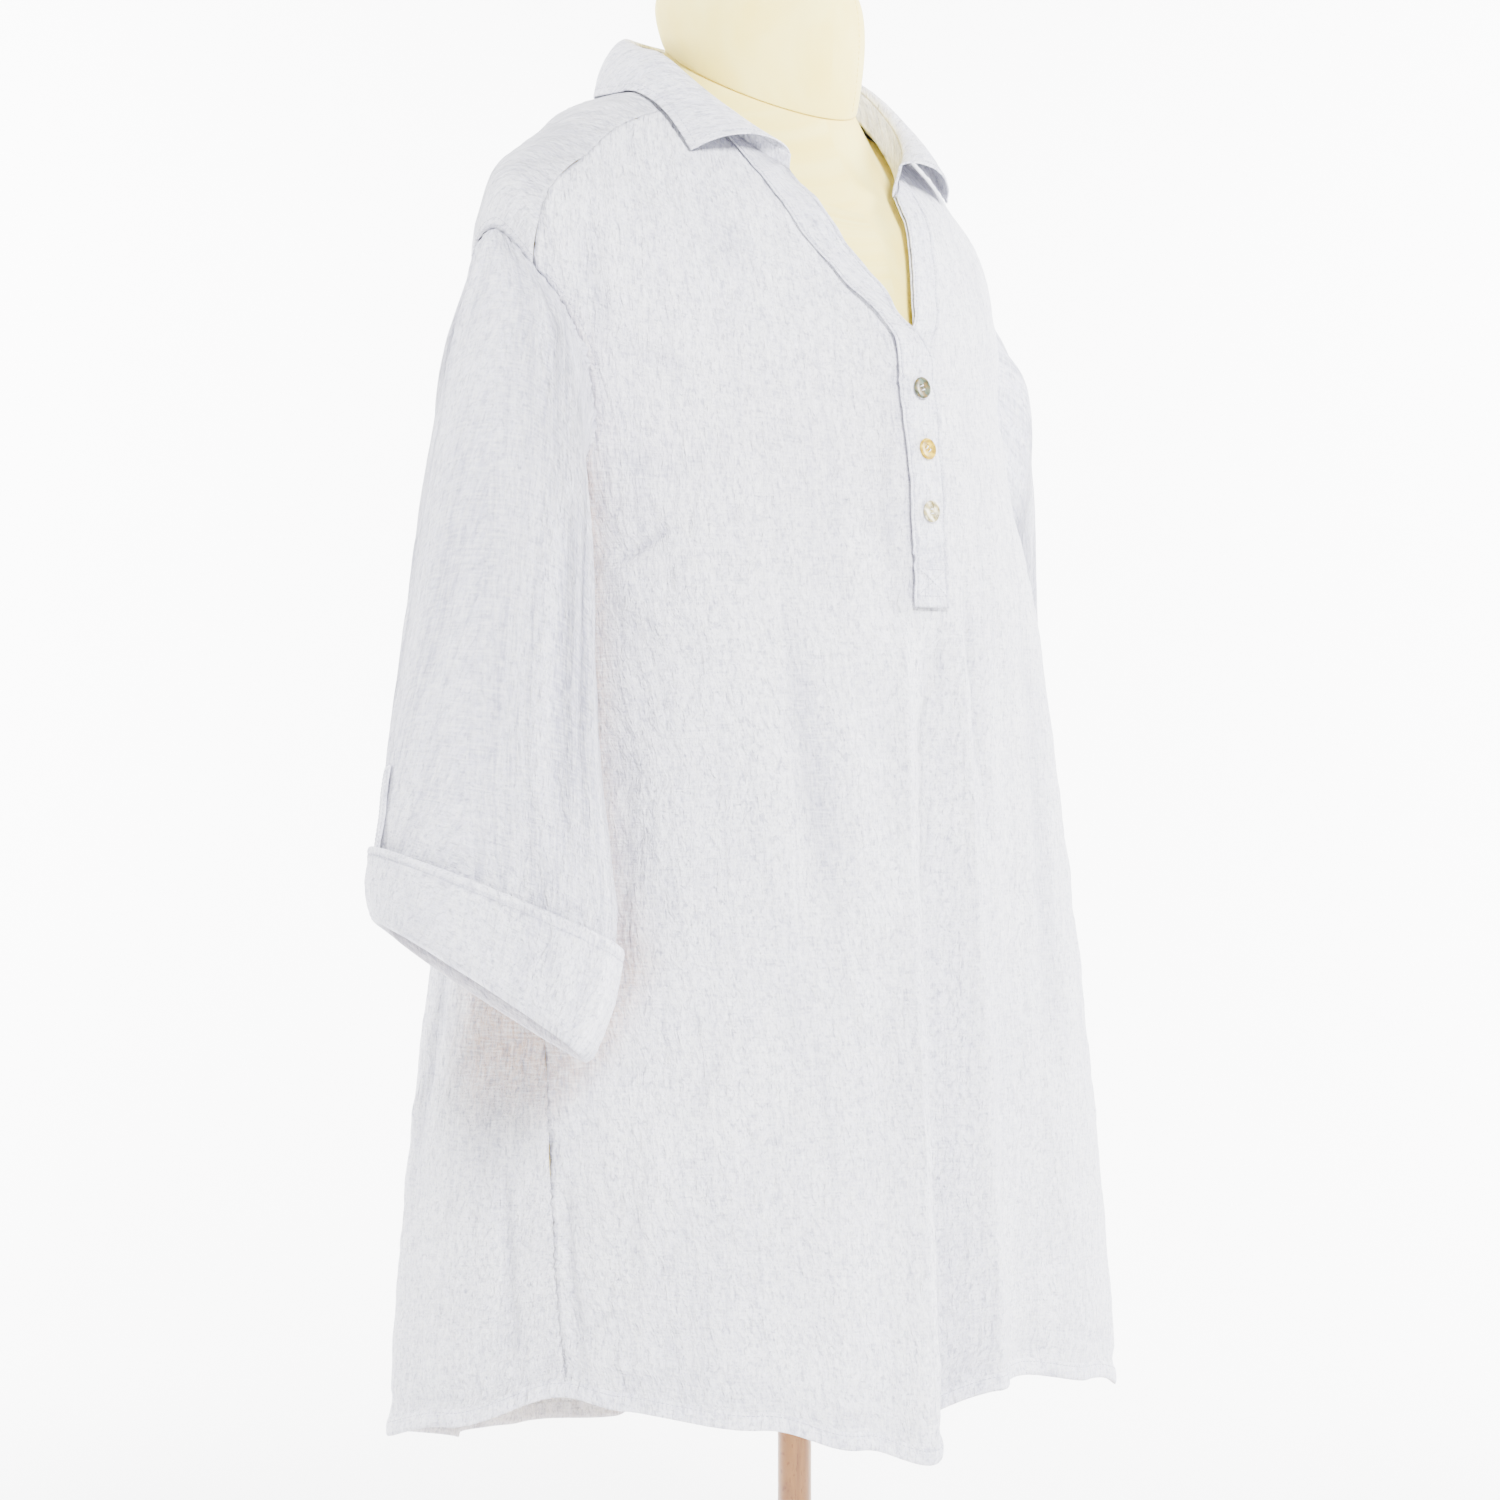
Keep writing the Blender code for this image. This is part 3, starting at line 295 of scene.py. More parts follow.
def jersey_material():
    material, tree, shader = new_material("cream cotton jersey")
    ribs = add(tree, "ShaderNodeTexWave", {"Vector": scaled_place(tree, 1.0, 1.0)},
               bands_direction="X", Scale=2 * math.pi / 1.1 / TEXTURE_UNIT, Distortion=0.4)
    courses = add(tree, "ShaderNodeTexWave", {"Vector": scaled_place(tree, 1.0, 1.0)},
                  bands_direction="Y", Scale=2 * math.pi / 0.9 / TEXTURE_UNIT, Distortion=0.6)
    loops = add(tree, "ShaderNodeMath", {0: ribs.outputs["Fac"], 1: courses.outputs["Fac"]},
                operation="MULTIPLY")
    cloud = add(tree, "ShaderNodeTexNoise", {"Vector": scaled_place(tree, 30.0, 45.0)},
                Scale=1.0, Detail=3.0)
    tone = mixed(tree, ranged(tree, cloud.outputs["Fac"], 0.35, 0.65),
                 linear("#FBE676"), linear("#FFF192"))
    tree.links.new(mixed(tree, ranged(tree, loops.outputs["Value"], 0.0, 0.8, 0.25, 0.0),
                         tone, linear("#E2CE74")), shader.inputs["Base Color"])
    shader.inputs["Roughness"].default_value = 0.85
    shader.inputs["Sheen Weight"].default_value = 0.25
    shader.inputs["Specular IOR Level"].default_value = 0.25
    bumped(tree, shader, [(cloud.outputs["Fac"], 0.8, 0.3), (loops.outputs["Value"], 0.18, 0.4)])
    return material


def beech_material():
    material, tree, shader = new_material("lacquered beech")
    grain = add(tree, "ShaderNodeTexNoise",
                {"Vector": scaled_place(tree, 4.0, 60.0, 60.0, "Object")},
                Scale=1.0, Detail=5.0, Distortion=0.5)
    flecks = add(tree, "ShaderNodeTexNoise",
                 {"Vector": scaled_place(tree, 0.9, 5.0, 5.0, "Object")}, Scale=1.0, Detail=1.0)
    tone = mixed(tree, ranged(tree, grain.outputs["Fac"], 0.35, 0.65),
                 linear("#8A5A2C"), linear("#A9773F"))
    tone = mixed(tree, ranged(tree, flecks.outputs["Fac"], 0.62, 0.72, 0.0, 0.5),
                 tone, linear("#5E3817"))
    tree.links.new(tone, shader.inputs["Base Color"])
    tree.links.new(ranged(tree, grain.outputs["Fac"], 0.3, 0.7, 0.34, 0.5),
                   shader.inputs["Roughness"])
    shader.inputs["Coat Weight"].default_value = 0.25
    shader.inputs["Coat Roughness"].default_value = 0.25
    bumped(tree, shader, [(grain.outputs["Fac"], 0.25, 0.25), (flecks.outputs["Fac"], 0.1, 0.3)])
    return material


JERSEY = jersey_material()
BEECH = beech_material()
print("materials", len(bpy.data.materials))

# %% [markdown]
# The body of the blouse is one surface, given by an angle round it and a level up it. The
# tables below are the solid's own, in millimetres from the waist, so that every fine piece lies
# exactly where its solid is.

# %% Tables of the garment
NECK_LEVEL = 13.0
UNDERARM_LEVEL = 5.1
ARMHOLE_TOP_LEVEL = 9.05
ARMHOLE_MIDDLE = (UNDERARM_LEVEL + ARMHOLE_TOP_LEVEL) / 2
ARMHOLE_HALF = (ARMHOLE_TOP_LEVEL - UNDERARM_LEVEL) / 2
ARMHOLE_HALF_ANGLE = 24.0
SHOULDER_SOFTNESS = 0.15
SLIT_LEVEL = 4.05
PLACKET_HALF_WIDTH = 14.0
UNDER_STRIP_INSET = 1.5
BAND_WIDTH = 25.0
BAND_OUT = 2.0
BAND_STEP = 1.7

Section = namedtuple(
    "Section",
    "front_height side_height back_height half_width middle front back front_curve back_curve",
)
SECTIONS = [
    Section(-380, -380, -405, 250.0, 0, 168.0, 150.0, 2.00, 2.0),  # hem
    Section(-240, -240, -240, 238.0, 0, 160.0, 146.0, 2.00, 2.0),
    Section(-120, -120, -120, 222.0, 0, 153.0, 140.0, 2.00, 2.0),
    Section(0, 0, 0, 204.0, 0, 146.0, 134.0, 2.00, 2.0),           # waist
    Section(90, 90, 90, 188.0, 4, 141.0, 130.0, 2.00, 2.0),
    Section(135, 135, 135, 178.0, 8, 139.0, 128.0, 1.90, 2.0),     # underarm
    Section(160, 180, 182, 176.0, 12, 137.5, 127.0, 1.80, 2.0),
    Section(186, 225, 230, 183.0, 16, 134.0, 125.0, 1.65, 1.9),
    Section(212, 265, 275, 189.0, 18, 131.0, 122.0, 1.60, 1.9),
    Section(236, 297, 312, 190.5, 18, 127.5, 116.0, 1.55, 1.9),    # foot of the V
    Section(262, 334, 345, 177.0, 18, 121.0, 106.0, 1.60, 1.9),
    Section(286, 356, 367, 148.0, 17, 113.0, 94.0, 1.70, 2.0),
    Section(305, 374, 383, 124.0, 14, 104.0, 82.0, 1.85, 2.0),
    Section(318, 391, 395, 73.0, 8, 92.0, 68.0, 2.00, 2.0),        # neck seam
]

HemPoint = namedtuple("HemPoint", "angle height")
HEM = [
    HemPoint(-180, -416),
    HemPoint(-150, -412),
    HemPoint(-124, -395),
    HemPoint(-97, -381),
    HemPoint(-68, -359),   # right side seam
    HemPoint(-55, -364),
    HemPoint(-32, -372),
    HemPoint(-18, -387),
    HemPoint(-7.5, -400),  # right edge of the pleat
    HemPoint(1, -385),
    HemPoint(8, -368),
    HemPoint(19, -366),
    HemPoint(34, -376),
    HemPoint(58, -392),
    HemPoint(78, -380),
    HemPoint(95, -362),    # left side seam
    HemPoint(112, -378),
    HemPoint(130, -400),
    HemPoint(150, -412),
    HemPoint(180, -416),
]

Fold = namedtuple("Fold", "name top_angle hem_angle top_level depth half_width growth")
FOLDS = [
    Fold("pleat right edge", -5.0, -7.5, 3.85, 9.0, 6.0, 0.9),
    Fold("pleat hollow", 0.5, 1.5, 3.85, -36.0, 7.5, 0.75),
    Fold("pleat left edge", 7.0, 10.0, 3.85, 5.0, 6.0, 0.9),
    Fold("left front hollow", 20.0, 18.0, 3.8, -17.0, 15.0, 1.2),
    Fold("right front swell", -18.0, -24.0, 5.0, 15.0, 26.0, 1.2),
    Fold("trough below right bust", -21.0, -27.0, 4.6, -5.0, 6.0, 0.8),
    Fold("left flank swell", 46.0, 50.0, 5.0, 5.0, 18.0, 1.2),
    Fold("right side hollow", -82.0, -76.0, 5.6, -38.0, 46.0, 0.7),
    Fold("left side hollow", 106.0, 108.0, 5.4, -30.0, 42.0, 0.7),
    Fold("right back swell", -128.0, -122.0, 4.6, 6.0, 16.0, 1.1),
    Fold("right back hollow", -140.0, -141.0, 5.6, -12.0, 10.0, 1.0),
    Fold("right back ridge", -156.0, -155.0, 8.0, 8.0, 10.0, 1.2),
    Fold("box pleat right edge", -173.0, -169.0, 8.8, 7.0, 7.0, 0.9),
    Fold("box pleat hollow", 180.0, 180.0, 8.8, -15.0, 9.0, 0.9),
    Fold("box pleat left edge", 173.0, 169.0, 8.8, 7.0, 7.0, 0.9),
    Fold("left back hollow", 152.0, 151.0, 7.0, -12.0, 10.0, 1.1),
    Fold("left back ridge", 136.0, 134.0, 5.6, 8.0, 11.0, 1.1),
]

VEdge = namedtuple("VEdge", "level right left")
V_EDGE = [
    VEdge(9.0, -2.0, 2.0),
    VEdge(10.0, -15.0, 7.0),
    VEdge(11.0, -33.0, 15.0),
    VEdge(12.0, -41.0, 22.0),
    VEdge(13.0, -45.0, 30.0),
]

SleeveRing = namedtuple(
    "SleeveRing", "outer outer_height inner inner_height forward half_width front_drop turn"
)
RIGHT_SLEEVE = [
    SleeveRing(205, 262, 187, 118, 5, 62, 3, 0),
    SleeveRing(211, 222, 192, 98, 8, 67, 3, 0),
    SleeveRing(217, 178, 195, 72, 11, 70, 3, 2),
    SleeveRing(224, 128, 196, 45, 13, 72, 3, 3),
    SleeveRing(231, 76, 197, 15, 15, 74, 3, 4),
    SleeveRing(239, 25, 198, -16, 17, 76, 4, 6),
    SleeveRing(246, -22, 200, -48, 22, 79, 8, 8),
    SleeveRing(253, -56, 203, -80, 29, 83, 19, 8),
    SleeveRing(257, -87, 209, -118, 29, 87, 26, 4),
    SleeveRing(260, -114, 214, -147, 26, 88, 29, -2),
]
LEFT_SLEEVE = [
    SleeveRing(205, 262, 188, 118, -22, 58, 0, 0),
    SleeveRing(212, 222, 194, 98, -28, 61, 0, 0),
    SleeveRing(220, 178, 200, 72, -34, 63, 0, 0),
    SleeveRing(228, 128, 203, 45, -40, 65, 0, 0),
    SleeveRing(236, 74, 207, 15, -46, 67, 0, 0),
    SleeveRing(244, 20, 211, -16, -52, 70, 2, -1),
    SleeveRing(252, -32, 215, -48, -56, 73, 6, -2),
    SleeveRing(259, -74, 219, -80, -58, 78, 14, -2),
    SleeveRing(264, -110, 223, -118, -58, 83, 20, -2),
    SleeveRing(266, -138, 225, -148, -58, 85, 22, -2),
]
SLEEVE_END = 9.84

CollarRow = namedtuple("CollarRow", "angle rise lean edge_angle edge_level")
COLLAR = [
    CollarRow(-37, 13, 3, -57, 12.10),
    CollarRow(-52, 13, 4, -65, 12.32),
    CollarRow(-72, 15, 5, -77, 12.48),
    CollarRow(-92, 21, 6, -95, 12.48),
    CollarRow(-133, 33, 6, -133, 12.30),
    CollarRow(-180, 34, 5, -180, 12.20),
    CollarRow(-227, 33, 6, -227, 12.30),
    CollarRow(-268, 22, 6, -265, 12.45),
    CollarRow(-290, 19, 6, -288, 12.32),
    CollarRow(-314, 20, 5, -303, 12.08),
    CollarRow(-335, 20, 4, -313, 11.88),
]
COLLAR_LIFT = 2.8
LEAF_ROLL = 4.0

# %% [markdown]
# The same formulas as the solid's, worked on whole grids of points at once.

# %% The surface of the body


def placed(x, y, z):
    """Garment millimetres as metres above the floor."""
    x, y, z = np.broadcast_arrays(x, y, z)
    return np.stack([x, y + NECK_BEHIND_POLE, z + WAIST_HEIGHT], axis=-1) * MM


def signed_power(value, power):
    return np.sign(value) * np.abs(value) ** power


def smooth(value):
    value = np.clip(value, 0, 1)
    return value * value * (3 - 2 * value)


def spline(rows, place):
    """Rows of a table or of points, read smoothly at fractional places."""
    rows = np.asarray(rows, float)
    last = len(rows) - 1
    place = np.clip(np.asarray(place, float), 0, last)
    start = np.minimum(place.astype(int), last - 1)
    t = (place - start).reshape(place.shape + (1,) * (rows.ndim - 1))
    before = rows[np.maximum(start - 1, 0)]
    first, second = rows[start], rows[start + 1]
    after = rows[np.minimum(start + 2, last)]
    return (
        first * (2 * t**3 - 3 * t**2 + 1)
        + (second - before) * 0.5 * (t**3 - 2 * t**2 + t)
        + second * (3 * t**2 - 2 * t**3)
        + (after - first) * 0.5 * (t**3 - t**2)
    )


def table_at(rows, place):
    return type(rows[0])(*np.moveaxis(spline(rows, place), -1, 0))


def wrap(angle):
    return (np.asarray(angle, float) + 180) % 360 - 180


def hem_height(angle):
    angle = wrap(angle)
    keys = np.array([row.angle for row in HEM], float)
    heights = np.array([row.height for row in HEM], float)
    index = np.clip(np.searchsorted(keys, angle, side="right") - 1, 0, len(HEM) - 2)
    t = (angle - keys[index]) / (keys[index + 1] - keys[index])
    return heights[index] + (heights[index + 1] - heights[index]) * smooth(t)


def fold_depth(angle, level):
    total = np.zeros(np.broadcast(angle, level).shape)
    for fold in FOLDS:
        t = np.clip((fold.top_level - level) / fold.top_level, 0, None)
        centre = fold.top_angle + (fold.hem_angle - fold.top_angle) * t
        away_from = np.abs(wrap(angle - centre)) / fold.half_width
        shape = 0.5 + 0.5 * np.cos(np.pi * np.clip(away_from, 0, 1))
        total += fold.depth * t**fold.growth * shape
    return total


def body_at(angle, level):
    """The outer face of the blouse's body."""
    angle, level = np.broadcast_arrays(np.asarray(angle, float), np.asarray(level, float))
    ring = table_at(SECTIONS, level)
    s, c = np.sin(np.radians(angle)), np.cos(np.radians(angle))
    in_front = c > 0
    power = 2 / np.where(in_front, ring.front_curve, ring.back_curve)
    depth = np.where(in_front, ring.front + ring.middle, ring.back - ring.middle)
    x = ring.half_width * signed_power(s, power)
    y = ring.middle - depth * signed_power(c, power)
    soft = SHOULDER_SOFTNESS
    lean = (np.hypot(c, soft) - soft) / (np.hypot(1, soft) - soft)
    end = np.where(in_front, ring.front_height, ring.back_height)
    z = ring.side_height + (end - ring.side_height) * lean
    low = SECTIONS[1].side_height
    z = np.where(level < 1, low + (hem_height(angle) - low) * (1 - level), z)
    scale = 1 + fold_depth(angle, level) / np.hypot(x, y)
    return placed(x * scale, y * scale, z)


def unit(vectors):
    return vectors / np.maximum(np.linalg.norm(vectors, axis=-1, keepdims=True), 1e-12)


def body_normal(angle, level):
    level = np.asarray(level, float)
    around = body_at(angle + 0.5, level) - body_at(angle - 0.5, level)
    up = body_at(angle, np.minimum(level + 0.03, NECK_LEVEL))
    up = up - body_at(angle, np.maximum(level - 0.03, 0))
    return unit(np.cross(around, up))


def body_out(angle, level, out):
    out = np.asarray(out, float)[..., None]
    return body_at(angle, level) + body_normal(angle, level) * out * MM


def angle_of(level, x):
    """The angle at which a ring reaches an x near the centre front."""
    ring = table_at(SECTIONS, level)
    ratio = np.clip(np.abs(x) / ring.half_width, 0, 1)
    return np.sign(x) * np.degrees(np.arcsin(ratio ** (ring.front_curve / 2)))


def v_edge_x(side, level):
    keys = [row.level for row in V_EDGE]
    return np.interp(level, keys, [row.right if side < 0 else row.left for row in V_EDGE])


def armhole(turn):
    """Angle and level round the left armhole: 0 at the shoulder, 90 in front."""
    turn = np.radians(turn)
    return 90 - ARMHOLE_HALF_ANGLE * np.sin(turn), ARMHOLE_MIDDLE + ARMHOLE_HALF * np.cos(turn)


def armhole_opening(level):
    share = 1 - ((level - ARMHOLE_MIDDLE) / ARMHOLE_HALF) ** 2
    return ARMHOLE_HALF_ANGLE * np.sqrt(np.clip(share, 0, 1))


def side_seam(side, level):
    below = np.clip((UNDERARM_LEVEL - level) / UNDERARM_LEVEL, 0, 1)
    return np.where(side < 0, -90 + 22 * below**1.4, 90 + 5 * below)


SOLID_TURNS = 28
YOKE_FRONT_ANGLE, YOKE_FRONT_LEVEL = armhole(360 * 3 / SOLID_TURNS)
YOKE_BACK_ANGLE, YOKE_BACK_CORNER = armhole(-360 * 4 / SOLID_TURNS)
YOKE_BACK_LEVEL = 9.0


def folded(angle):
    """The angle from the centre front, the same on both sides."""
    return 180 - np.abs(180 - np.asarray(angle, float) % 360)


def yoke_seam_level(angle):
    share = np.clip((folded(angle) - YOKE_BACK_ANGLE) / (180 - YOKE_BACK_ANGLE), 0, 1)
    return YOKE_BACK_CORNER + (YOKE_BACK_LEVEL - YOKE_BACK_CORNER) * np.sin(share * np.pi / 2)


# %% The surface of a sleeve
ARMHOLE_SHRINK = 0.994
UNDERARM_CLEAR = 0.9


def sleeve_at(side, turn, along):
    """The outer face of a sleeve: turn 0 is its outer line, 90 its front edge, and along 0 its
    seam. Turn and along are rows and columns of a grid, or lists of the same length."""
    turn, along = np.broadcast_arrays(np.asarray(turn, float), np.asarray(along, float))
    shape = turn.shape
    turn, along = turn.ravel(), along.ravel()
    angle, level = armhole(turn)
    angle = 90 + (angle - 90) * ARMHOLE_SHRINK
    level = ARMHOLE_MIDDLE + (level - ARMHOLE_MIDDLE) * ARMHOLE_SHRINK
    clear = UNDERARM_CLEAR * (1 - np.cos(np.radians(turn))) / 2
    lines = [body_out(side * angle, level, clear)]
    s = signed_power(np.sin(np.radians(turn)), 0.85)
    c = signed_power(np.cos(np.radians(turn)), 0.85)
    for ring in RIGHT_SLEEVE if side < 0 else LEFT_SLEEVE:
        swing = math.radians(ring.turn)
        out = (ring.outer + ring.inner) / 2 + (ring.outer - ring.inner) / 2 * c
        out = out - ring.half_width * s * math.sin(swing)
        y = -ring.forward - ring.half_width * s * math.cos(swing)
        z = (ring.outer_height + ring.inner_height) / 2 - ring.front_drop * s
        z = z + (ring.outer_height - ring.inner_height) / 2 * c
        lines.append(placed(side * out, y, z))
    lines = np.array(lines)
    last = len(lines) - 1
    past = np.maximum(along - last, 0)[:, None]
    place = np.clip(along, 0, last)
    start = np.minimum(place.astype(int), last - 1)
    t = (place - start)[:, None]
    here = np.arange(len(turn))
    before, after = lines[np.maximum(start - 1, 0), here], lines[np.minimum(start + 2, last), here]
    first, second = lines[start, here], lines[start + 1, here]
    points = (
        first * (2 * t**3 - 3 * t**2 + 1)
        + (second - before) * 0.5 * (t**3 - 2 * t**2 + t)
        + second * (3 * t**2 - 2 * t**3)
        + (after - first) * 0.5 * (t**3 - t**2)
    )
    points = points + (lines[-1] - lines[-2])[here] * past
    return points.reshape(shape + (3,))


def sleeve_normal(side, turn, along):
    around = sleeve_at(side, turn + 2, along) - sleeve_at(side, turn - 2, along)
    down = sleeve_at(side, turn, np.asarray(along) + 0.05)
    down = down - sleeve_at(side, turn, np.maximum(np.asarray(along) - 0.05, 0))
    return unit(np.cross(around, down) * side)


def sleeve_out(side, turn, along, out):
    out = np.asarray(out, float)[..., None]
    return sleeve_at(side, turn, along) + sleeve_normal(side, turn, along) * out * MM


# %% [markdown]
# Small helpers turn grids of points into meshes. A mesh gets coordinates in metres along and
# across the cloth, which the weave follows, and the two marks that paint shade into its colour.
# Cloth could be made by simulation, but this drape is the one in the photograph, so its creases
# are listed one by one.

# %% Mesh helpers
SHELL = 0.5             # mm of cloth in the fine pieces


def make_object(name, points, faces, material, uv=None, painted_show_through_and_shade=None, hollow=None):
    mesh = bpy.data.meshes.new(name)
    mesh.from_pydata(np.asarray(points).reshape(-1, 3).tolist(), [], faces)
    mesh.shade_smooth()
    if uv is not None:
        corners = np.zeros(len(mesh.loops), np.int32)
        mesh.loops.foreach_get("vertex_index", corners)
        layer = mesh.uv_layers.new(name="UVMap")
        layer.data.foreach_set("uv", np.asarray(uv, np.float32).reshape(-1, 2)[corners].ravel())
    # Two marks of painted colour: warm shade and show-through, and shade in folds and at seams.
    for word, values in (("painted_show_through_and_shade", painted_show_through_and_shade), ("hollow", hollow)):
        if values is not None:
            mark = mesh.attributes.new(word, "FLOAT", "POINT")
            mark.data.foreach_set("value", np.asarray(values, np.float32).ravel())
    mesh.materials.append(material)
    item = bpy.data.objects.new(name, mesh)
    bpy.context.scene.collection.objects.link(item)
    return item


def grid_faces(rows, columns, closed=False, flip=False, first=0):
    faces = []
    for i in range(rows - 1):
        for j in range(columns if closed else columns - 1):
            k = (j + 1) % columns
            quad = (first + i * columns + j, first + i * columns + k,
                    first + (i + 1) * columns + k, first + (i + 1) * columns + j)
            faces.append(quad[::-1] if flip else quad)
    return faces


def join_ends(item):
    """Merge the first and last columns of a tube, which keep their own texture places."""
    weld = item.modifiers.new("join the ends", "WELD")
    weld.merge_threshold = 0.00005
    return item


def thicken(item, wall=SHELL):
    """A wall behind the outer face."""
    shell = item.modifiers.new("wall", "SOLIDIFY")
    shell.thickness = wall * MM
    shell.offset = -1
    shell.use_even_offset = False
    return item


def dress(item, slot_name, *nodes):
    """Ride on the body and stand for the named solids. The slot name is not used."""
    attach(item, "root")
    if nodes:
        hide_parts(*nodes)
    return item


def flat_lengths(points):
    """Running lengths down and across a grid of points, in metres."""
    down = np.zeros(points.shape[:2])
    down[1:] = np.cumsum(np.linalg.norm(np.diff(points, axis=0), axis=-1), axis=0)
    over = np.zeros(points.shape[:2])
    over[:, 1:] = np.cumsum(np.linalg.norm(np.diff(points, axis=1), axis=-1), axis=1)
    return np.stack([over, down], axis=-1)


def grid_area(points):
    a = points[1:, 1:] - points[:-1, :-1]
    b = points[:-1, 1:] - points[1:, :-1]
    return float(np.linalg.norm(np.cross(a, b), axis=-1).sum() / 2)


def waves(u, v, seed, size, count=7):
    """Soft uneven undulations between about -1 and 1, from a few waves of chosen seed."""
    rng = np.random.default_rng(seed)
    total = np.zeros(np.broadcast(u, v).shape)
    for _ in range(count):
        turn = rng.uniform(0, math.pi)
        pitch = size * rng.uniform(0.7, 1.8)
        phase = rng.uniform(0, 2 * math.pi)
        bend = 0.8 * np.sin(v / (size * 2.3) + phase)
        total += np.sin((u * math.cos(turn) + v * math.sin(turn)) * 2 * math.pi / pitch
                        + phase + bend)
    return total / math.sqrt(count) / 1.4

# %% [markdown]
# Creases are placed one by one: where each runs on the cloth, how wide and how deep it is. A
# positive depth stands out and a negative one is a trough. Places on the body are an angle and
# a height from the waist, and on a sleeve a turn and a distance along it.

# %% Creases of the body
Crease = namedtuple("Crease", "name angle height bend_angle bend_height end_angle end_height "
                    "width depth")
FRONT_CREASES = [
    Crease("right bust dart", -68, 101, -61, 112, -53, 125, 2.6, -3.0),
    Crease("dart's lower lip", -66, 97, -61, 106, -53, 119, 5.0, 1.4),
    Crease("left bust dart", 68, 101, 61, 112, 53, 125, 2.6, -3.0),
    Crease("short line below the dart", -52, 36, -48, 35, -44, 38, 2.0, -0.8),
    Crease("valley under the right bust", -29, 80, -24, 4, -20, -110, 9.0, -3.2),
    Crease("its right shoulder", -35, 60, -31, -20, -29, -130, 12.0, 1.8),
    Crease("fine line lower down", -21, -108, -19, -139, -15, -180, 2.6, -1.2),
    Crease("soft trough over the right hip", -37, -146, -40, -176, -44, -203, 4.0, -1.5),
    Crease("its cross line", -49, -147, -41, -149, -33, -137, 2.2, -0.7),
    Crease("from the collar's right point", -52, 325, -41, 298, -33, 262, 7.0, -1.6),
    Crease("beside it", -58, 318, -49, 292, -43, 262, 6.0, 1.1),
    Crease("under the right band", -24, 262, -20, 240, -13, 215, 6.0, 0.8),
    Crease("below the right shoulder seam", -66, 300, -63, 270, -62, 235, 8.0, -2.0),
    Crease("from the front of the armhole", -65, 232, -56, 222, -47, 220, 6.0, -1.2),
    Crease("from the underarm", -70, 158, -58, 163, -46, 158, 8.0, -1.6),
    Crease("under the underarm", -76, 128, -62, 92, -52, 52, 10.0, 1.6),
    Crease("pull to the top button, right", -12, 215, -7, 212, -4, 208, 2.2, -1.1),
    Crease("pull to the top button, left", 4, 208, 10, 213, 19, 217, 2.6, -1.3),
    Crease("pull under it, left", 4, 203, 7, 192, 8, 180, 3.0, 0.8),
    Crease("pull to the middle button", 4, 172, 10, 168, 18, 160, 4.0, -0.8),
    Crease("left of the placket's foot", 10, 104, 11, 36, 12, -34, 3.0, -2.2),
    Crease("its soft return", 12, -30, 14, -58, 19, -80, 6.0, -1.6),
    Crease("left of the pleat", 16, 70, 15, -40, 15, -180, 9.0, 2.2),
    Crease("along the placket's right edge", -9, 200, -9, 150, -9, 96, 6.0, -1.3),
    Crease("at the placket's foot, right", -14, 84, -10, 80, -6, 83, 3.0, -0.9),
    Crease("left front, long", 34, 96, 33, -40, 30, -210, 12.0, -2.4),
    Crease("left flank, long", 62, 80, 66, -60, 70, -240, 12.0, -2.2),
    Crease("left from the armhole", 66, 226, 55, 208, 44, 198, 7.0, -1.4),
    Crease("left underarm", 74, 140, 62, 110, 54, 70, 9.0, -1.6),
    Crease("left shoulder", 52, 318, 44, 288, 38, 250, 7.0, -1.4),
    Crease("right hip, slanting", -63, 20, -58, -60, -60, -140, 10.0, -1.8),
    Crease("right thigh, slanting", -50, -200, -52, -260, -48, -320, 9.0, 1.7),
    Crease("beside the side seam", -70, -236, -69, -290, -64, -346, 5.0, -2.2),
    Crease("hem crease, lower right", -66, -286, -60, -303, -54, -300, 3.0, -1.2),
    Crease("hem crease under it", -57, -306, -61, -318, -66, -326, 2.6, -1.0),
    Crease("hem line, right", -48, -340, -38, -345, -26, -350, 4.0, -1.2),
    Crease("hem line, middle", -30, -352, -20, -364, -10, -376, 4.0, 1.0),
    Crease("hem line, left", 24, -342, 36, -352, 50, -360, 4.0, -1.2),
    Crease("hem line, far left", 55, -352, 66, -352, 80, -340, 3.5, -1.1),
    Crease("pleat's right edge, upper", -6.5, 84, -7.0, 10, -7.2, -70, 2.2, 1.4),
    Crease("pleat's right edge, lower", -7.2, -70, -7.4, -190, -7.5, -330, 2.2, 1.6),
    Crease("pleat's left edge", 7.4, 70, 8.6, -60, 9.8, -300, 2.6, 1.1),
    Crease("gathers at the placket's foot", -2.0, 78, -2.4, 55, -2.6, 20, 2.2, 1.1),
    Crease("gathers beside them", 3.2, 78, 3.6, 50, 3.8, 14, 2.2, -1.2),
]
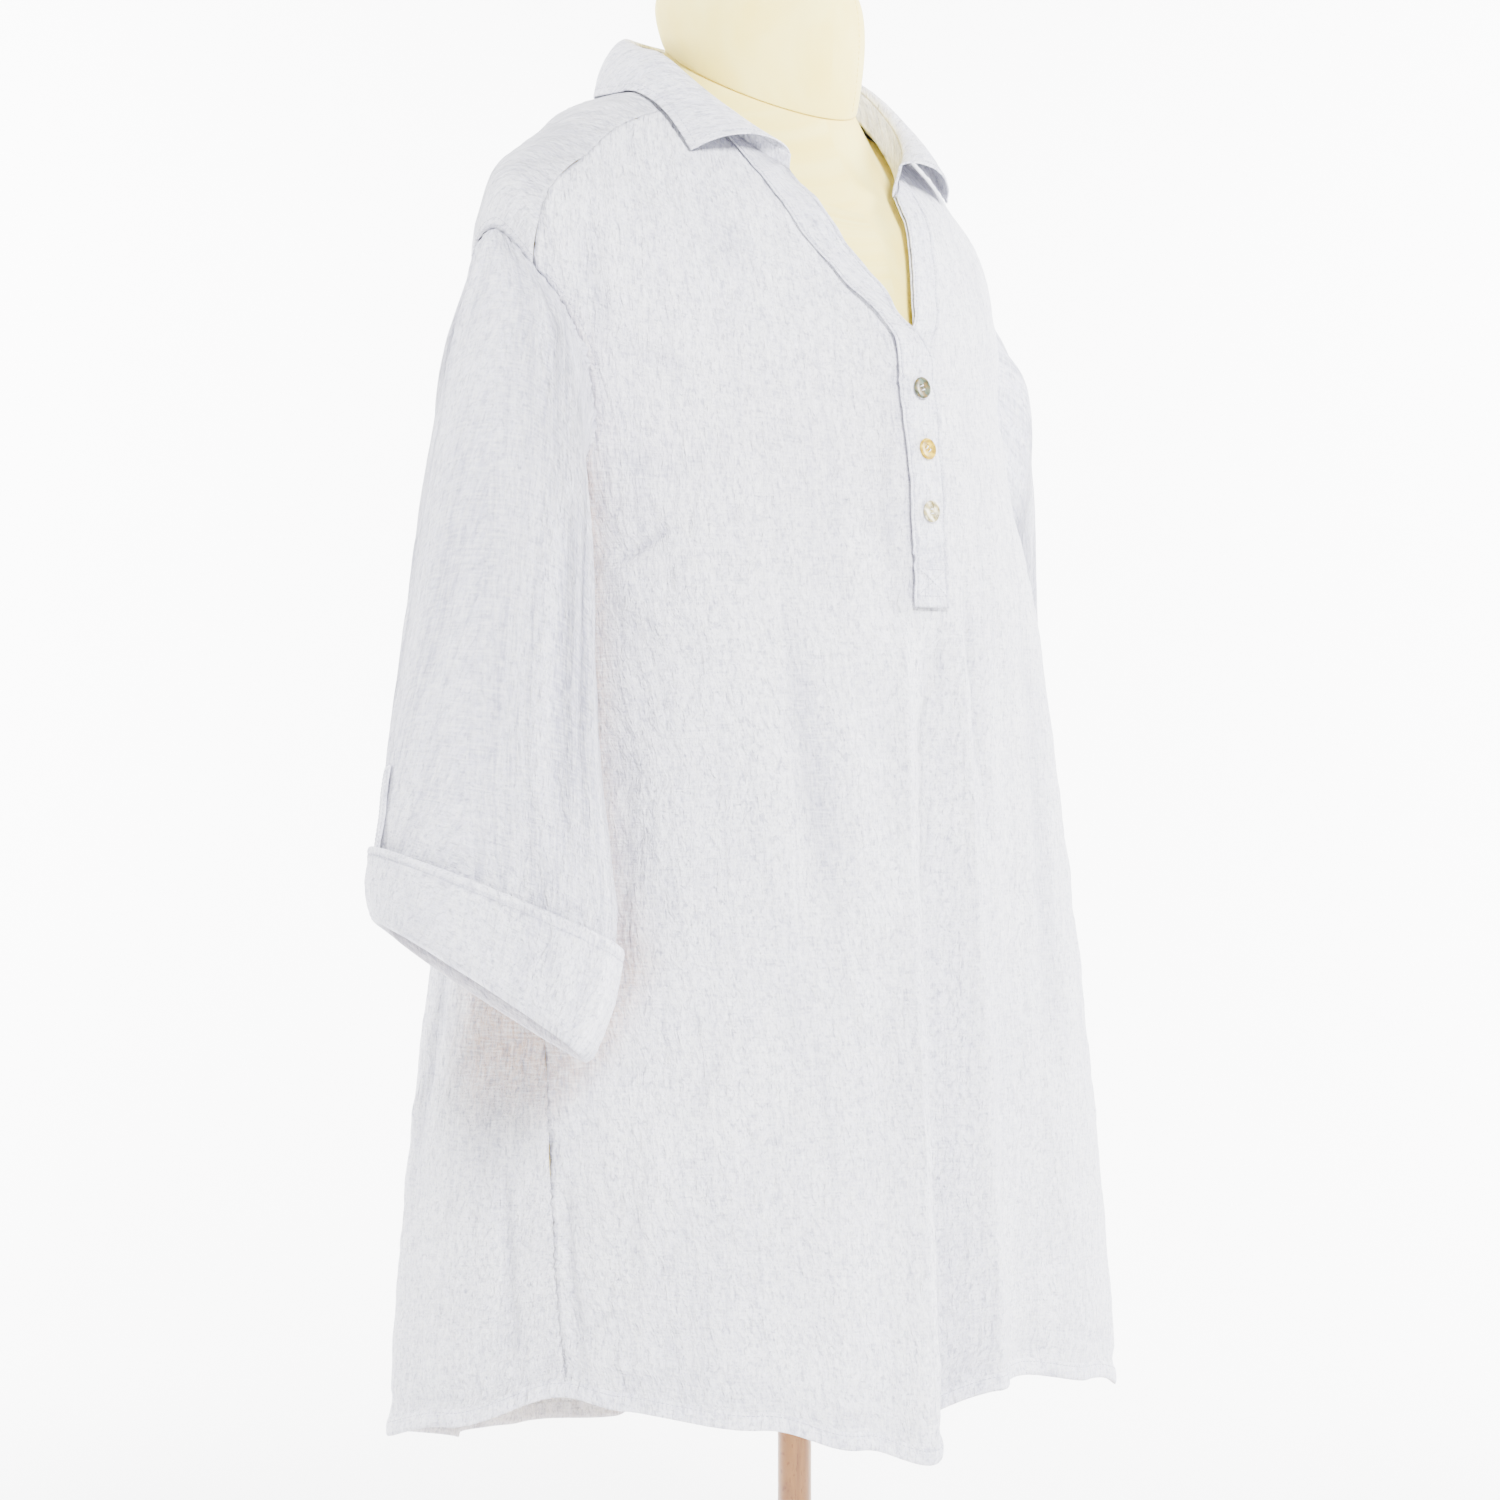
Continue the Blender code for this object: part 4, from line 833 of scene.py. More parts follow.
BACK_CREASES = [
    Crease("box pleat's right edge", -175, 300, -172, 100, -170, -300, 2.4, 1.5),
    Crease("box pleat's left edge", 175, 300, 172, 100, 170, -300, 2.4, 1.5),
    Crease("right shoulder blade", -128, 268, -136, 200, -140, 120, 9.0, -2.0),
    Crease("left shoulder blade", 128, 268, 137, 205, 142, 130, 9.0, -2.0),
    Crease("from the right armhole", -114, 214, -124, 196, -136, 190, 7.0, -1.5),
    Crease("from the left armhole", 114, 210, 125, 196, 138, 192, 7.0, -1.5),
    Crease("right of the pleat, long", -160, 120, -162, -60, -160, -280, 8.0, -2.4),
    Crease("left of the pleat, long", 161, 100, 160, -80, 161, -290, 8.0, -2.4),
    Crease("right waist, slanting", -120, 40, -132, 8, -146, -2, 7.0, -1.2),
    Crease("left waist, slanting", 118, 30, 131, 4, 145, -8, 7.0, -1.2),
    Crease("right back hip", -104, -60, -112, -160, -114, -280, 10.0, -2.2),
    Crease("left back hip", 112, -70, 118, -170, 120, -290, 10.0, -2.2),
    Crease("seat crease", -150, -118, -138, -128, -126, -124, 4.0, -0.9),
    Crease("seat crease, left", 126, -150, 140, -160, 152, -152, 4.0, -0.9),
    Crease("hem line, right back", -112, -366, -126, -378, -142, -392, 4.0, -1.2),
    Crease("hem line, left back", 112, -356, 128, -376, 146, -392, 4.0, -1.2),
    Crease("hem line, centre back", -166, -398, -178, -401, -192, -398, 4.0, 1.0),
    Crease("beside the right side seam", -86, -220, -84, -300, -80, -352, 6.0, -2.0),
    Crease("under the right arm", -100, 132, -106, 80, -104, 20, 9.0, -1.8),
    Crease("under the left arm", 100, 130, 107, 78, 108, 10, 9.0, -1.8),
]
YOKE_CREASES = [
    Crease("right shoulder, from the collar", -88, 372, -84, 358, -83, 338, 6.0, -1.6),
    Crease("over the right shoulder", -84, 342, -76, 322, -70, 300, 5.0, -1.8),
    Crease("behind it", -96, 350, -94, 330, -92, 308, 7.0, 1.3),
    Crease("near the right seam", -79, 352, -76, 340, -74, 326, 3.5, -1.1),
    Crease("left shoulder", 86, 368, 80, 348, 76, 318, 6.0, -1.6),
    Crease("behind the left shoulder", 98, 352, 96, 330, 94, 306, 7.0, -1.2),
    Crease("right back of the yoke", -128, 352, -132, 330, -130, 312, 7.0, -1.3),
    Crease("left back of the yoke", 128, 352, 133, 330, 131, 312, 7.0, -1.3),
    Crease("across the centre back", -196, 342, -180, 338, -166, 343, 6.0, -0.8),
]
PUCKER_PITCH = 7.0       # mm between the puckers of a seam
CREASE_STEPS = 14
BODY_CREASE_GAIN = 1.6
# These two size the shade painted into folds and seams.
FOLD_SHADE_DEPTH = 4.2   # mm of a fold that is fully in shade
SEAM_SHADE = 1.7         # mm of shade at each side of a seam
SLEEVE_CREASE_GAIN = 1.6


def creases_out(rows, across_mm, down_mm, place_of):
    """Millimetres in or out at each point, from creases that run along bent lines."""
    total = np.zeros(across_mm.shape)
    for row in rows:
        ends = place_of(row)
        t = np.linspace(0, 1, CREASE_STEPS)
        line = [(1 - t) ** 2 * a + 2 * t * (1 - t) * b + t**2 * c for a, b, c in ends]
        near = np.full(total.shape, 1e9)
        where = np.zeros(total.shape)
        for k in range(CREASE_STEPS - 1):
            ax, ay, bx, by = line[0][k], line[1][k], line[0][k + 1], line[1][k + 1]
            dx, dy = bx - ax, by - ay
            share = ((across_mm - ax) * dx + (down_mm - ay) * dy) / (dx * dx + dy * dy + 1e-9)
            share = np.clip(share, 0, 1)
            gap = np.hypot(across_mm - ax - share * dx, down_mm - ay - share * dy)
            closer = gap < near
            near = np.where(closer, gap, near)
            where = np.where(closer, (k + share) / (CREASE_STEPS - 1), where)
        fade = np.sin(np.pi * np.clip(where, 0, 1)) ** 0.7
        total += row.depth * fade * np.exp(-((near / row.width) ** 2))
    return total


def girth(height):
    """Half width of the body at a height, to turn angles into millimetres."""
    heights = [row.side_height for row in SECTIONS]
    return np.interp(height, heights, [row.half_width for row in SECTIONS])


def body_creases(rows, angle, height, level):
    """All that moves the cloth of the body in or out of its plain surface."""
    turned_back = rows is BACK_CREASES or rows is YOKE_CREASES
    angle_here = np.where(turned_back & (angle < 0), angle + 360, angle) if turned_back else angle
    arc = np.radians(angle_here) * girth(height)

    def place_of(row):
        angles = [row.angle, row.bend_angle, row.end_angle]
        if turned_back:
            angles = [a + 360 if a < 0 else a for a in angles]
        heights = [row.height, row.bend_height, row.end_height]
        return [[math.radians(a) * float(girth(h)) for a, h in zip(angles, heights)], heights]

    gain = 1.0 if rows is YOKE_CREASES else BODY_CREASE_GAIN
    out = gain * creases_out(rows, arc, height, place_of)
    out += gain * (0.45 * waves(arc, height, 3, 46.0) + 0.20 * waves(arc, height, 5, 17.0))
    above_hem = height - hem_height(angle)
    roll = 1.0 + 0.45 * waves(arc, height, 8, 34.0)
    out += np.where(level < 1.2, -1.1 * roll * np.exp(-((above_hem - 15) / 5.0) ** 2), 0)
    return out


def painted_fold_and_seam_shade(out, from_seam):
    """How much shade is painted at each point: full in a deep fold or right at a seam, and none on
    a ridge.
    """
    return np.clip(-out / FOLD_SHADE_DEPTH + 0.9 * np.exp(-((from_seam / SEAM_SHADE) ** 2)), 0, 1)


def seam_puckers(distance, run, depth, seed):
    """Small puckers square to a seam: how far from it and along it, in millimetres."""
    wave = np.sin(2 * np.pi * run / PUCKER_PITCH + 1.5 * waves(run, distance, seed, 30.0))
    return depth * wave * np.exp(-np.abs(distance) / 6.0)


# %% [markdown]
# The front is one panel, slit down the centre for the placket and cut away in a V. Its rows
# follow the solid's own levels, four or more to each, and its two halves meet below the slit.

# %% Front panel
ROW_STEP = 3.7
FINE_TURNS = 112


def even_levels(low, high, step=ROW_STEP):
    """Levels about the same distance apart up the body."""
    fine = np.linspace(low, high, 400)
    line = body_at(np.full(400, 60.0), fine)
    run = np.concatenate([[0], np.cumsum(np.linalg.norm(np.diff(line, axis=0), axis=1))])
    count = max(int(run[-1] / (step * MM)), 2)
    return np.interp(np.linspace(0, run[-1], count + 1), run, fine)


def armhole_rows(first_step, last_step):
    return [armhole(360 * step / FINE_TURNS)[1] for step in range(first_step, last_step, -1)]


FRONT_LEVELS = np.array(
    list(even_levels(0, SLIT_LEVEL))
    + list(even_levels(SLIT_LEVEL, UNDERARM_LEVEL)[1:-1])
    + armhole_rows(FINE_TURNS // 2, FINE_TURNS * 3 // SOLID_TURNS)
    + list(even_levels(YOKE_FRONT_LEVEL, NECK_LEVEL))
)
FRONT_COLUMNS = 72


def front_edge(side, level):
    edge = np.where(level <= UNDERARM_LEVEL, side_seam(side, level),
                    side * (90 - armhole_opening(level)))
    return np.where(level >= YOKE_FRONT_LEVEL - 1e-6, side * YOKE_FRONT_ANGLE, edge)


def panel_points(rows, angle, level, extra=None):
    plain = body_at(angle, level)
    height = plain[..., 2] / MM - WAIST_HEIGHT
    out = body_creases(rows, wrap(angle), height, level)
    if extra is not None:
        out = out + extra
    return plain + body_normal(angle, level) * out[..., None] * MM, out


def column_run(column):
    """Lengths down one column of a grid, leaving sideways steps out, in metres."""
    steps = np.linalg.norm(np.diff(column[:, 1:], axis=0), axis=1)
    return np.concatenate([[0], np.cumsum(steps)])


def front_rise(angle, level):
    """How far the front panel's creases stand off its plain surface, for what lies on it."""
    height = body_at(angle, level)[..., 2] / MM - WAIST_HEIGHT
    return body_creases(FRONT_CREASES, wrap(angle), height, level)


SleeveEdge = namedtuple("SleeveEdge", "level angle")
SLEEVE_EDGE = [
    SleeveEdge(1.2, -80), SleeveEdge(1.4, -72), SleeveEdge(1.6, -65), SleeveEdge(2.0, -57.5),
    SleeveEdge(2.44, -65), SleeveEdge(3.0, -70), SleeveEdge(3.9, -74), SleeveEdge(5.84, -74),
    SleeveEdge(7.6, -71), SleeveEdge(8.4, -73),
]


def beside_sleeve(angle, level):
    """The strip of the body where the soft shade of the right sleeve and its cuff is painted."""
    edge = np.interp(level, [row.level for row in SLEEVE_EDGE], [row.angle for row in SLEEVE_EDGE])
    past = np.maximum(wrap(angle) - edge, 0)
    behind = np.minimum(wrap(angle) + 92, 0)
    fade = smooth((level - 1.1) / 0.5) * smooth((8.4 - level) / 1.2)
    return np.exp(-((past / 5.5) ** 2) - (behind / 10) ** 2) * fade


def warmth_and_shade_painted(angle, level):
    """Where a warm tint is painted: the cream form showing through over the bust, and shade by the
    sleeve.
    """
    facing = np.clip(np.cos(np.radians(wrap(angle + 20))), 0, 1)
    bust = 0.08 * np.exp(-(((level - 6.4) / 2.6) ** 2)) * facing**0.6
    return np.clip(bust + 0.9 * beside_sleeve(angle, level), 0, 1)


def half_front(side):
    level = FRONT_LEVELS[:, None]
    edge = front_edge(side, level)
    start = np.where(level > SLIT_LEVEL, angle_of(level, v_edge_x(side, level)), 0.0)
    share = (np.arange(FRONT_COLUMNS + 1) / FRONT_COLUMNS)[None, :] ** 1.3
    angle = start + (edge - start) * share
    level = np.broadcast_to(level, angle.shape)
    plain = body_at(angle, level)
    from_edge = np.linalg.norm(plain - plain[:, -1:], axis=-1) / MM
    run = np.cumsum(np.linalg.norm(np.diff(plain[:, -1], axis=0, prepend=plain[:1, -1]), axis=-1))
    puckers = seam_puckers(from_edge, run[:, None] / MM, 0.7, 21 + side)
    points, out = panel_points(FRONT_CREASES, angle, level, puckers)
    uv = flat_lengths(points)
    uv[..., 0] += np.abs(points[:, :1, 0])
    uv[..., 0] *= side
    uv[..., 1] = column_run(points[:, 0])[:, None]
    # Painted shade: in folds, at the armhole seam and beside the right sleeve.
    hollow = painted_fold_and_seam_shade(out - puckers, from_edge) + 0.3 * beside_sleeve(angle, level)
    # Painted shadow of the placket strip, on the panel along its edges.
    from_strip = np.abs(np.abs(plain[..., 0]) / MM - PLACKET_HALF_WIDTH - 0.8)
    beside_strip = (level > SLIT_LEVEL - 0.1) & (level < 8.7)
    hollow += 0.55 * np.exp(-((from_strip / 1.4) ** 2)) * beside_strip
    return points, uv, warmth_and_shade_painted(angle, level), np.clip(hollow, 0, 1)


GRIDS = {}


def make_front():
    points, uv, mark, hollow, faces = [], [], [], [], []
    rows, columns = len(FRONT_LEVELS), FRONT_COLUMNS + 1
    area = 0
    for side in (-1, 1):
        half, half_uv, half_mark, half_hollow = half_front(side)
        faces += grid_faces(rows, columns, flip=side < 0, first=len(points) * rows * columns)
        points.append(half)
        uv.append(half_uv)
        mark.append(half_mark)
        hollow.append(half_hollow)
        area += grid_area(half)
        GRIDS["front", side] = half
    below_slit = np.where(FRONT_LEVELS <= SLIT_LEVEL)[0]
    twin = {int(rows * columns + i * columns): int(i * columns) for i in below_slit}
    faces = [tuple(twin.get(v, v) for v in face) for face in faces]
    item = make_object("front_panel", np.array(points), faces, VOILE, np.array(uv),
                       np.array(mark), np.array(hollow))
    return thicken(item), area


front_panel, front_area = make_front()
dress(front_panel, "voile", "front")
print("front", round(front_area, 3), "square metres")

# %% [markdown]
# The back hangs from the yoke with a soft box pleat down its middle, and is a little longer.

# %% Back panel
BACK_COLUMNS = 150
BACK_RISE_LEVEL = 6.0
BACK_LEVELS = np.array(
    list(even_levels(0, UNDERARM_LEVEL)[:-1])
    + armhole_rows(FINE_TURNS // 2, FINE_TURNS * 4 // SOLID_TURNS - 1)
)


def back_edge(side, level):
    return np.where(level <= UNDERARM_LEVEL, side_seam(side, level),
                    side * (90 + armhole_opening(level)))


def make_back():
    level = BACK_LEVELS[:, None]
    left, right = back_edge(1, level), back_edge(-1, level) + 360
    share = np.linspace(0, 1, BACK_COLUMNS + 1)[None, :]
    angle = left + (right - left) * share
    climb = np.clip((level - BACK_RISE_LEVEL) / (YOKE_BACK_CORNER - BACK_RISE_LEVEL), 0, 1)
    place = level + (yoke_seam_level(angle) - YOKE_BACK_CORNER) * climb
    plain = body_at(angle, place)
    run = np.radians(angle) * 170
    below_yoke = np.linalg.norm(plain - plain[-1:], axis=-1) / MM
    puckers = seam_puckers(below_yoke, run, 0.4, 31)
    points, out = panel_points(BACK_CREASES, angle, place, puckers)
    uv = flat_lengths(points)
    uv[..., 0] -= uv[:, BACK_COLUMNS // 2, :1]
    uv[..., 1] = column_run(points[:, BACK_COLUMNS // 2])[:, None]
    mark = warmth_and_shade_painted(angle, place)
    faces = grid_faces(len(BACK_LEVELS), BACK_COLUMNS + 1)
    # Painted shade in folds and just below the yoke seam.
    hollow = painted_fold_and_seam_shade(out - puckers, below_yoke)
    item = make_object("back_panel", points, faces, VOILE, uv, mark, hollow)
    return thicken(item), grid_area(points)


back_panel, back_area = make_back()
dress(back_panel, "voile", "back")
print("back", round(back_area, 3), "square metres")

# %% [markdown]
# The yoke laps over the front and back with a turned edge, so it stands nearly a millimetre out.

# %% Yoke
YOKE_LAP = 0.9
YOKE_ROWS = 36
YOKE_BACK_COLUMNS = 34
LAP_LEVELS = 0.03        # how far the turned edge reaches past the seam


def yoke_angles():
    steps = range(FINE_TURNS * 3 // SOLID_TURNS, -FINE_TURNS * 4 // SOLID_TURNS, -1)
    half = [armhole(360 * step / FINE_TURNS)[0] for step in steps]
    half += [YOKE_BACK_ANGLE + (180 - YOKE_BACK_ANGLE) * i / YOKE_BACK_COLUMNS
             for i in range(YOKE_BACK_COLUMNS + 1)]
    return np.array(half + [360 - angle for angle in reversed(half[:-1])])


def yoke_low_level(angle):
    near = folded(angle)
    share = np.clip(1 - ((near - 90) / ARMHOLE_HALF_ANGLE) ** 2, 0, 1)
    on_armhole = ARMHOLE_MIDDLE + ARMHOLE_HALF * np.sqrt(share)
    return np.where(near < YOKE_BACK_ANGLE - 1e-6, on_armhole, yoke_seam_level(angle))


def make_yoke():
    angle = np.broadcast_to(yoke_angles()[None, :], (YOKE_ROWS + 1, len(yoke_angles())))
    low = yoke_low_level(angle) - LAP_LEVELS
    share = np.linspace(0, 1, YOKE_ROWS + 1)[:, None]
    level = low + (NECK_LEVEL - low) * share
    plain = body_at(angle, level)
    run = np.cumsum(np.linalg.norm(np.diff(plain[0], axis=0, prepend=plain[0, :1]), axis=-1)) / MM
    above = np.linalg.norm(plain - plain[:1], axis=-1) / MM
    out = YOKE_LAP + seam_puckers(above, run[None, :], 0.5, 41)
    points, rise = panel_points(YOKE_CREASES, angle, level, out)
    uv = flat_lengths(points)
    # Half-strength painted warmth and shade.
    mark = 0.5 * warmth_and_shade_painted(angle, level)
    faces = grid_faces(YOKE_ROWS + 1, angle.shape[1])
    # Painted shade in the yoke's creases and along its lapped seam.
    hollow = painted_fold_and_seam_shade(rise - out, above)
    item = make_object("yoke_panel", points, faces, VOILE, uv, mark, hollow)
    GRIDS["yoke"] = points
    return thicken(item), grid_area(points)


yoke_panel, yoke_area = make_yoke()
dress(yoke_panel, "voile", "yoke")
print("yoke", round(yoke_area, 3), "square metres")

# %% [markdown]
# The hems are narrow and turned twice. Sewing has drawn them up, so they rope: the turned edge
# twists into small slanting ridges.

# %% Hem bands
HEM_COLUMNS_PER_DEGREE = 2.4
HemRow = namedtuple("HemRow", "above out rope")
HEM_PROFILE = [
    HemRow(9.6, -0.9, 0.0),
    HemRow(6.0, -1.5, 0.1),
    HemRow(2.0, -1.5, 0.2),
    HemRow(0.0, -1.1, 0.3),
    HemRow(-0.6, -0.4, 0.3),
    HemRow(-0.3, 0.3, 0.4),
    HemRow(1.2, 0.75, 0.8),
    HemRow(3.2, 0.85, 1.0),
    HemRow(5.2, 0.85, 1.0),
    HemRow(6.6, 0.85, 0.9),
    HemRow(7.4, 0.30, 0.7),
    HemRow(8.2, 0.60, 0.4),
    HemRow(9.6, 0.02, 0.1),
]
HEM_STITCH_ROW = 10
ROPE_PITCH = 6.5
ROPE_DEPTH = 0.32


def hem_level(angle, above):
    return above / (SECTIONS[1].side_height - hem_height(angle))


def make_hem(name, start, end, rows):
    count = int((end - start) * HEM_COLUMNS_PER_DEGREE)
    angle = np.linspace(start, end, count + 1)[None, :]
    above = np.array([row.above for row in HEM_PROFILE])[:, None]
    level = hem_level(angle, above)
    angle = np.broadcast_to(angle, level.shape)
    plain = body_at(angle, level)
    height = plain[..., 2] / MM - WAIST_HEIGHT
    run = np.cumsum(np.linalg.norm(np.diff(plain[4], axis=0, prepend=plain[4, :1]), axis=-1)) / MM
    unevenly = 1.2 * np.sin(run / 31.0) + 0.9 * np.sin(run / 13.0 + 1)
    rope = np.sin(2 * np.pi * (run[None, :] + above * 0.8) / ROPE_PITCH + unevenly[None, :])
    strength = 0.75 + 0.25 * np.sin(run / 47.0)
    out = np.array([row.out for row in HEM_PROFILE])[:, None]
    rope = rope * np.array([row.rope for row in HEM_PROFILE])[:, None] * strength * ROPE_DEPTH
    out = out + rope + body_creases(rows, wrap(angle), height, level)
    points = plain + body_normal(angle, np.maximum(level, 0.0)) * out[..., None] * MM
    uv = np.stack([np.broadcast_to(run[None, :], level.shape),
                   np.broadcast_to(above, level.shape)], axis=-1) * MM
    item = make_object(name, points, grid_faces(*level.shape), VOILE_DOUBLED, uv)
    stitched = HEM_STITCH_ROW
    return item, (angle[stitched], level[stitched], out[stitched])


front_hem, front_hem_line = make_hem("front_hem", -68, 95, FRONT_CREASES)
back_hem, back_hem_line = make_hem("back_hem", 95, 292, BACK_CREASES)
for hem in (front_hem, back_hem):
    dress(hem, "voile")
print("hems", len(front_hem.data.vertices), len(back_hem.data.vertices))

# %% [markdown]
# The sleeves are set into a dropped armhole. They hang in soft lengthwise folds, gathered a
# little where they are sewn in.

# %% Sleeves
SleeveCrease = namedtuple("SleeveCrease", "name angle height bend_angle bend_height end_angle "
                          "end_height width depth")
RIGHT_SLEEVE_CREASES = [
    SleeveCrease("rear edge, upper", -8, 0.1, -25, 0.9, -46, 2.3, 4.0, 1.6),
    SleeveCrease("trough behind it", -18, 0.1, -37, 0.9, -58, 2.3, 6.0, -1.8),
    SleeveCrease("from the seam, middle", 12, 0.2, 18, 1.8, 22, 3.6, 8.0, -2.0),
    SleeveCrease("beside it", 24, 0.3, 28, 1.6, 31, 3.0, 6.0, 1.3),
    SleeveCrease("from the seam, front", 36, 0.1, 43, 1.2, 38, 2.6, 6.0, -1.8),
    SleeveCrease("near the seam, rear", 2, 0.05, 4, 0.5, 3, 1.1, 4.0, -1.0),
    SleeveCrease("long, middle", 0, 2.6, 6, 5.0, 8, 7.8, 12.0, -1.8),
    SleeveCrease("long, front of it", 34, 3.0, 36, 5.0, 33, 7.9, 10.0, 1.5),
    SleeveCrease("long, front", 56, 3.4, 55, 5.6, 52, 7.8, 8.0, -2.2),
    SleeveCrease("front edge trough", 82, 3.0, 76, 4.8, 71, 7.2, 6.0, -3.2),
    SleeveCrease("front edge ridge", 92, 2.4, 88, 5.0, 80, 7.8, 6.0, 1.6),
    SleeveCrease("long, rear", -24, 3.2, -19, 5.2, -16, 7.8, 9.0, -1.4),
    SleeveCrease("shade line over the cuff, rear", -45, 7.10, -18, 7.14, 8, 7.08, 3.0, -0.8),
    SleeveCrease("shade line over the cuff, front", 6, 7.06, 40, 7.02, 70, 6.90, 3.4, 0.9),
    SleeveCrease("slack above the cuff", 20, 7.7, 40, 7.45, 62, 7.75, 5.0, 1.0),
    SleeveCrease("inside, upper", 130, 0.6, 140, 2.2, 136, 4.0, 9.0, -2.0),
    SleeveCrease("inside, lower", 150, 3.4, 146, 5.4, 140, 7.8, 10.0, -2.0),
    SleeveCrease("inner seam", 180, 0.2, 181, 4.0, 180, 8.2, 2.0, -0.9),
    SleeveCrease("rear, upper", 232, 0.8, 238, 2.4, 244, 4.2, 9.0, -2.2),
    SleeveCrease("rear, lower", 262, 3.2, 258, 5.4, 262, 7.8, 9.0, -1.8),
    SleeveCrease("rear pressed edge", 284, 2.6, 288, 5.0, 292, 7.4, 4.0, 1.5),
]
LEFT_SLEEVE_CREASES = [
    SleeveCrease("rear edge, upper", -10, 0.1, -28, 1.0, -44, 2.5, 4.0, 1.5),
    SleeveCrease("trough behind it", -20, 0.1, -40, 1.0, -56, 2.5, 6.0, -1.8),
    SleeveCrease("from the seam, middle", 8, 0.2, 14, 1.6, 16, 3.8, 8.0, -1.8),
    SleeveCrease("from the seam, front", 40, 0.1, 46, 1.4, 42, 3.0, 6.0, -1.9),
    SleeveCrease("long, middle", -4, 3.0, 2, 5.2, 4, 7.8, 12.0, -1.8),
    SleeveCrease("long, front of it", 30, 3.2, 33, 5.2, 30, 7.9, 10.0, 1.4),
    SleeveCrease("long, front", 60, 3.0, 58, 5.6, 54, 7.8, 8.0, -2.1),
    SleeveCrease("front edge", 88, 2.6, 84, 5.0, 78, 7.4, 6.0, -2.6),
    SleeveCrease("long, rear", -30, 3.0, -24, 5.0, -20, 7.8, 9.0, -1.5),
    SleeveCrease("shade line over the cuff", -30, 7.1, 10, 7.14, 50, 7.0, 3.0, -0.8),
    SleeveCrease("inside, upper", 126, 0.6, 138, 2.4, 134, 4.2, 9.0, -2.0),
    SleeveCrease("inside, lower", 152, 3.2, 148, 5.2, 144, 7.8, 10.0, -2.0),
    SleeveCrease("inner seam", 180, 0.2, 179, 4.0, 180, 8.2, 2.0, -0.9),
    SleeveCrease("rear, upper", 236, 0.8, 240, 2.6, 246, 4.4, 9.0, -2.1),
    SleeveCrease("rear, lower", 264, 3.4, 260, 5.4, 264, 7.8, 9.0, -1.8),
    SleeveCrease("rear pressed edge", 282, 2.4, 287, 4.8, 291, 7.4, 4.0, 1.4),
]
SLEEVE_RING_MM = 41.0      # about the length of sleeve from one ring to the next
SLEEVE_ROWS = 112
SLEEVE_GIRTH = (300.0, 400.0)
GATHERS = 34


def sleeve_girth(along):
    return np.interp(along, [0, 10], SLEEVE_GIRTH)


def tube_places(turn, along):
    """Two running lengths, in millimetres, that close up round a sleeve."""
    reach = sleeve_girth(along) / (2 * np.pi)
    s, c = np.sin(np.radians(turn)), np.cos(np.radians(turn))
    return reach * (1.3 * s + c), along * SLEEVE_RING_MM + reach * (s - 1.3 * c)


def tube_creases(rows, turn, along):
    """Creases round a sleeve. Those at the rear are measured on their own side of the ends."""
    def place_of(row):
        turns = [row.angle, row.bend_angle, row.end_angle]
        places = [row.height, row.bend_height, row.end_height]
        across_mm = [t * float(sleeve_girth(p)) / 360 for t, p in zip(turns, places)]
        return [across_mm, [p * SLEEVE_RING_MM for p in places]]

    down = along * SLEEVE_RING_MM
    total = np.zeros(np.broadcast(turn, along).shape)
    for at_rear in (False, True):
        chosen = [row for row in rows if (row.angle > 200) == at_rear]
        here = turn if at_rear else np.where(turn > 270, turn - 360, turn)
        total += creases_out(chosen, here * sleeve_girth(along) / 360, down, place_of)
    return SLEEVE_CREASE_GAIN * total


def sleeve_out_of_plain(side, turn, along):
    """Millimetres in or out of the plain sleeve."""
    rows = RIGHT_SLEEVE_CREASES if side < 0 else LEFT_SLEEVE_CREASES
    out = tube_creases(rows, turn, along)
    down = along * SLEEVE_RING_MM
    across, over = tube_places(turn, along)
    out += 0.4 * waves(across, over, 61 + side, 50.0) + 0.18 * waves(across, over, 64 + side, 18.0)
    gathers = np.sin(np.radians(turn) * GATHERS + 1.5 * waves(across, over, 67, 40.0))
    fade = np.exp(-((down - 9) / 12.0) ** 2)
    out += 0.9 * gathers * fade + 0.9 * np.exp(-((down - 5.5) / 3.5) ** 2)
    return out * smooth(down / 6.0) - 1.2 * np.exp(-((down - 1.0) / 2.0) ** 2)


def seam_allowance(side, turn):
    """The sleeve's sewn-in edge, under the panels all round the armhole."""
    angle, level = armhole(turn)
    angle = 90 + (angle - 90) * 1.09
    level = ARMHOLE_MIDDLE + (level - ARMHOLE_MIDDLE) * 1.045
    return body_out(side * angle, level, -2.4)


def make_sleeve(name, side):
    turn = np.linspace(0, 360, FINE_TURNS + 1)[None, :]
    along = np.concatenate([[0], np.linspace(0, SLEEVE_END, SLEEVE_ROWS - 1)])[:, None]
    turn, along = np.broadcast_arrays(turn, along)
    out = sleeve_out_of_plain(side, turn, along)
    points = sleeve_out(side, turn, along, out)
    points[0] = seam_allowance(side, turn[0])
    uv = np.stack([turn * sleeve_girth(along) / 360, along * SLEEVE_RING_MM], axis=-1) * MM
    faces = grid_faces(SLEEVE_ROWS, FINE_TURNS + 1, flip=side < 0)
    # Painted shade in the sleeve's folds and along its armhole seam.
    hollow = painted_fold_and_seam_shade(out, along * SLEEVE_RING_MM - 3.0)
    item = make_object(name, points, faces, VOILE_SLEEVE_SHADED, uv, hollow=hollow)
    item = thicken(join_ends(item))
    return item, grid_area(points)


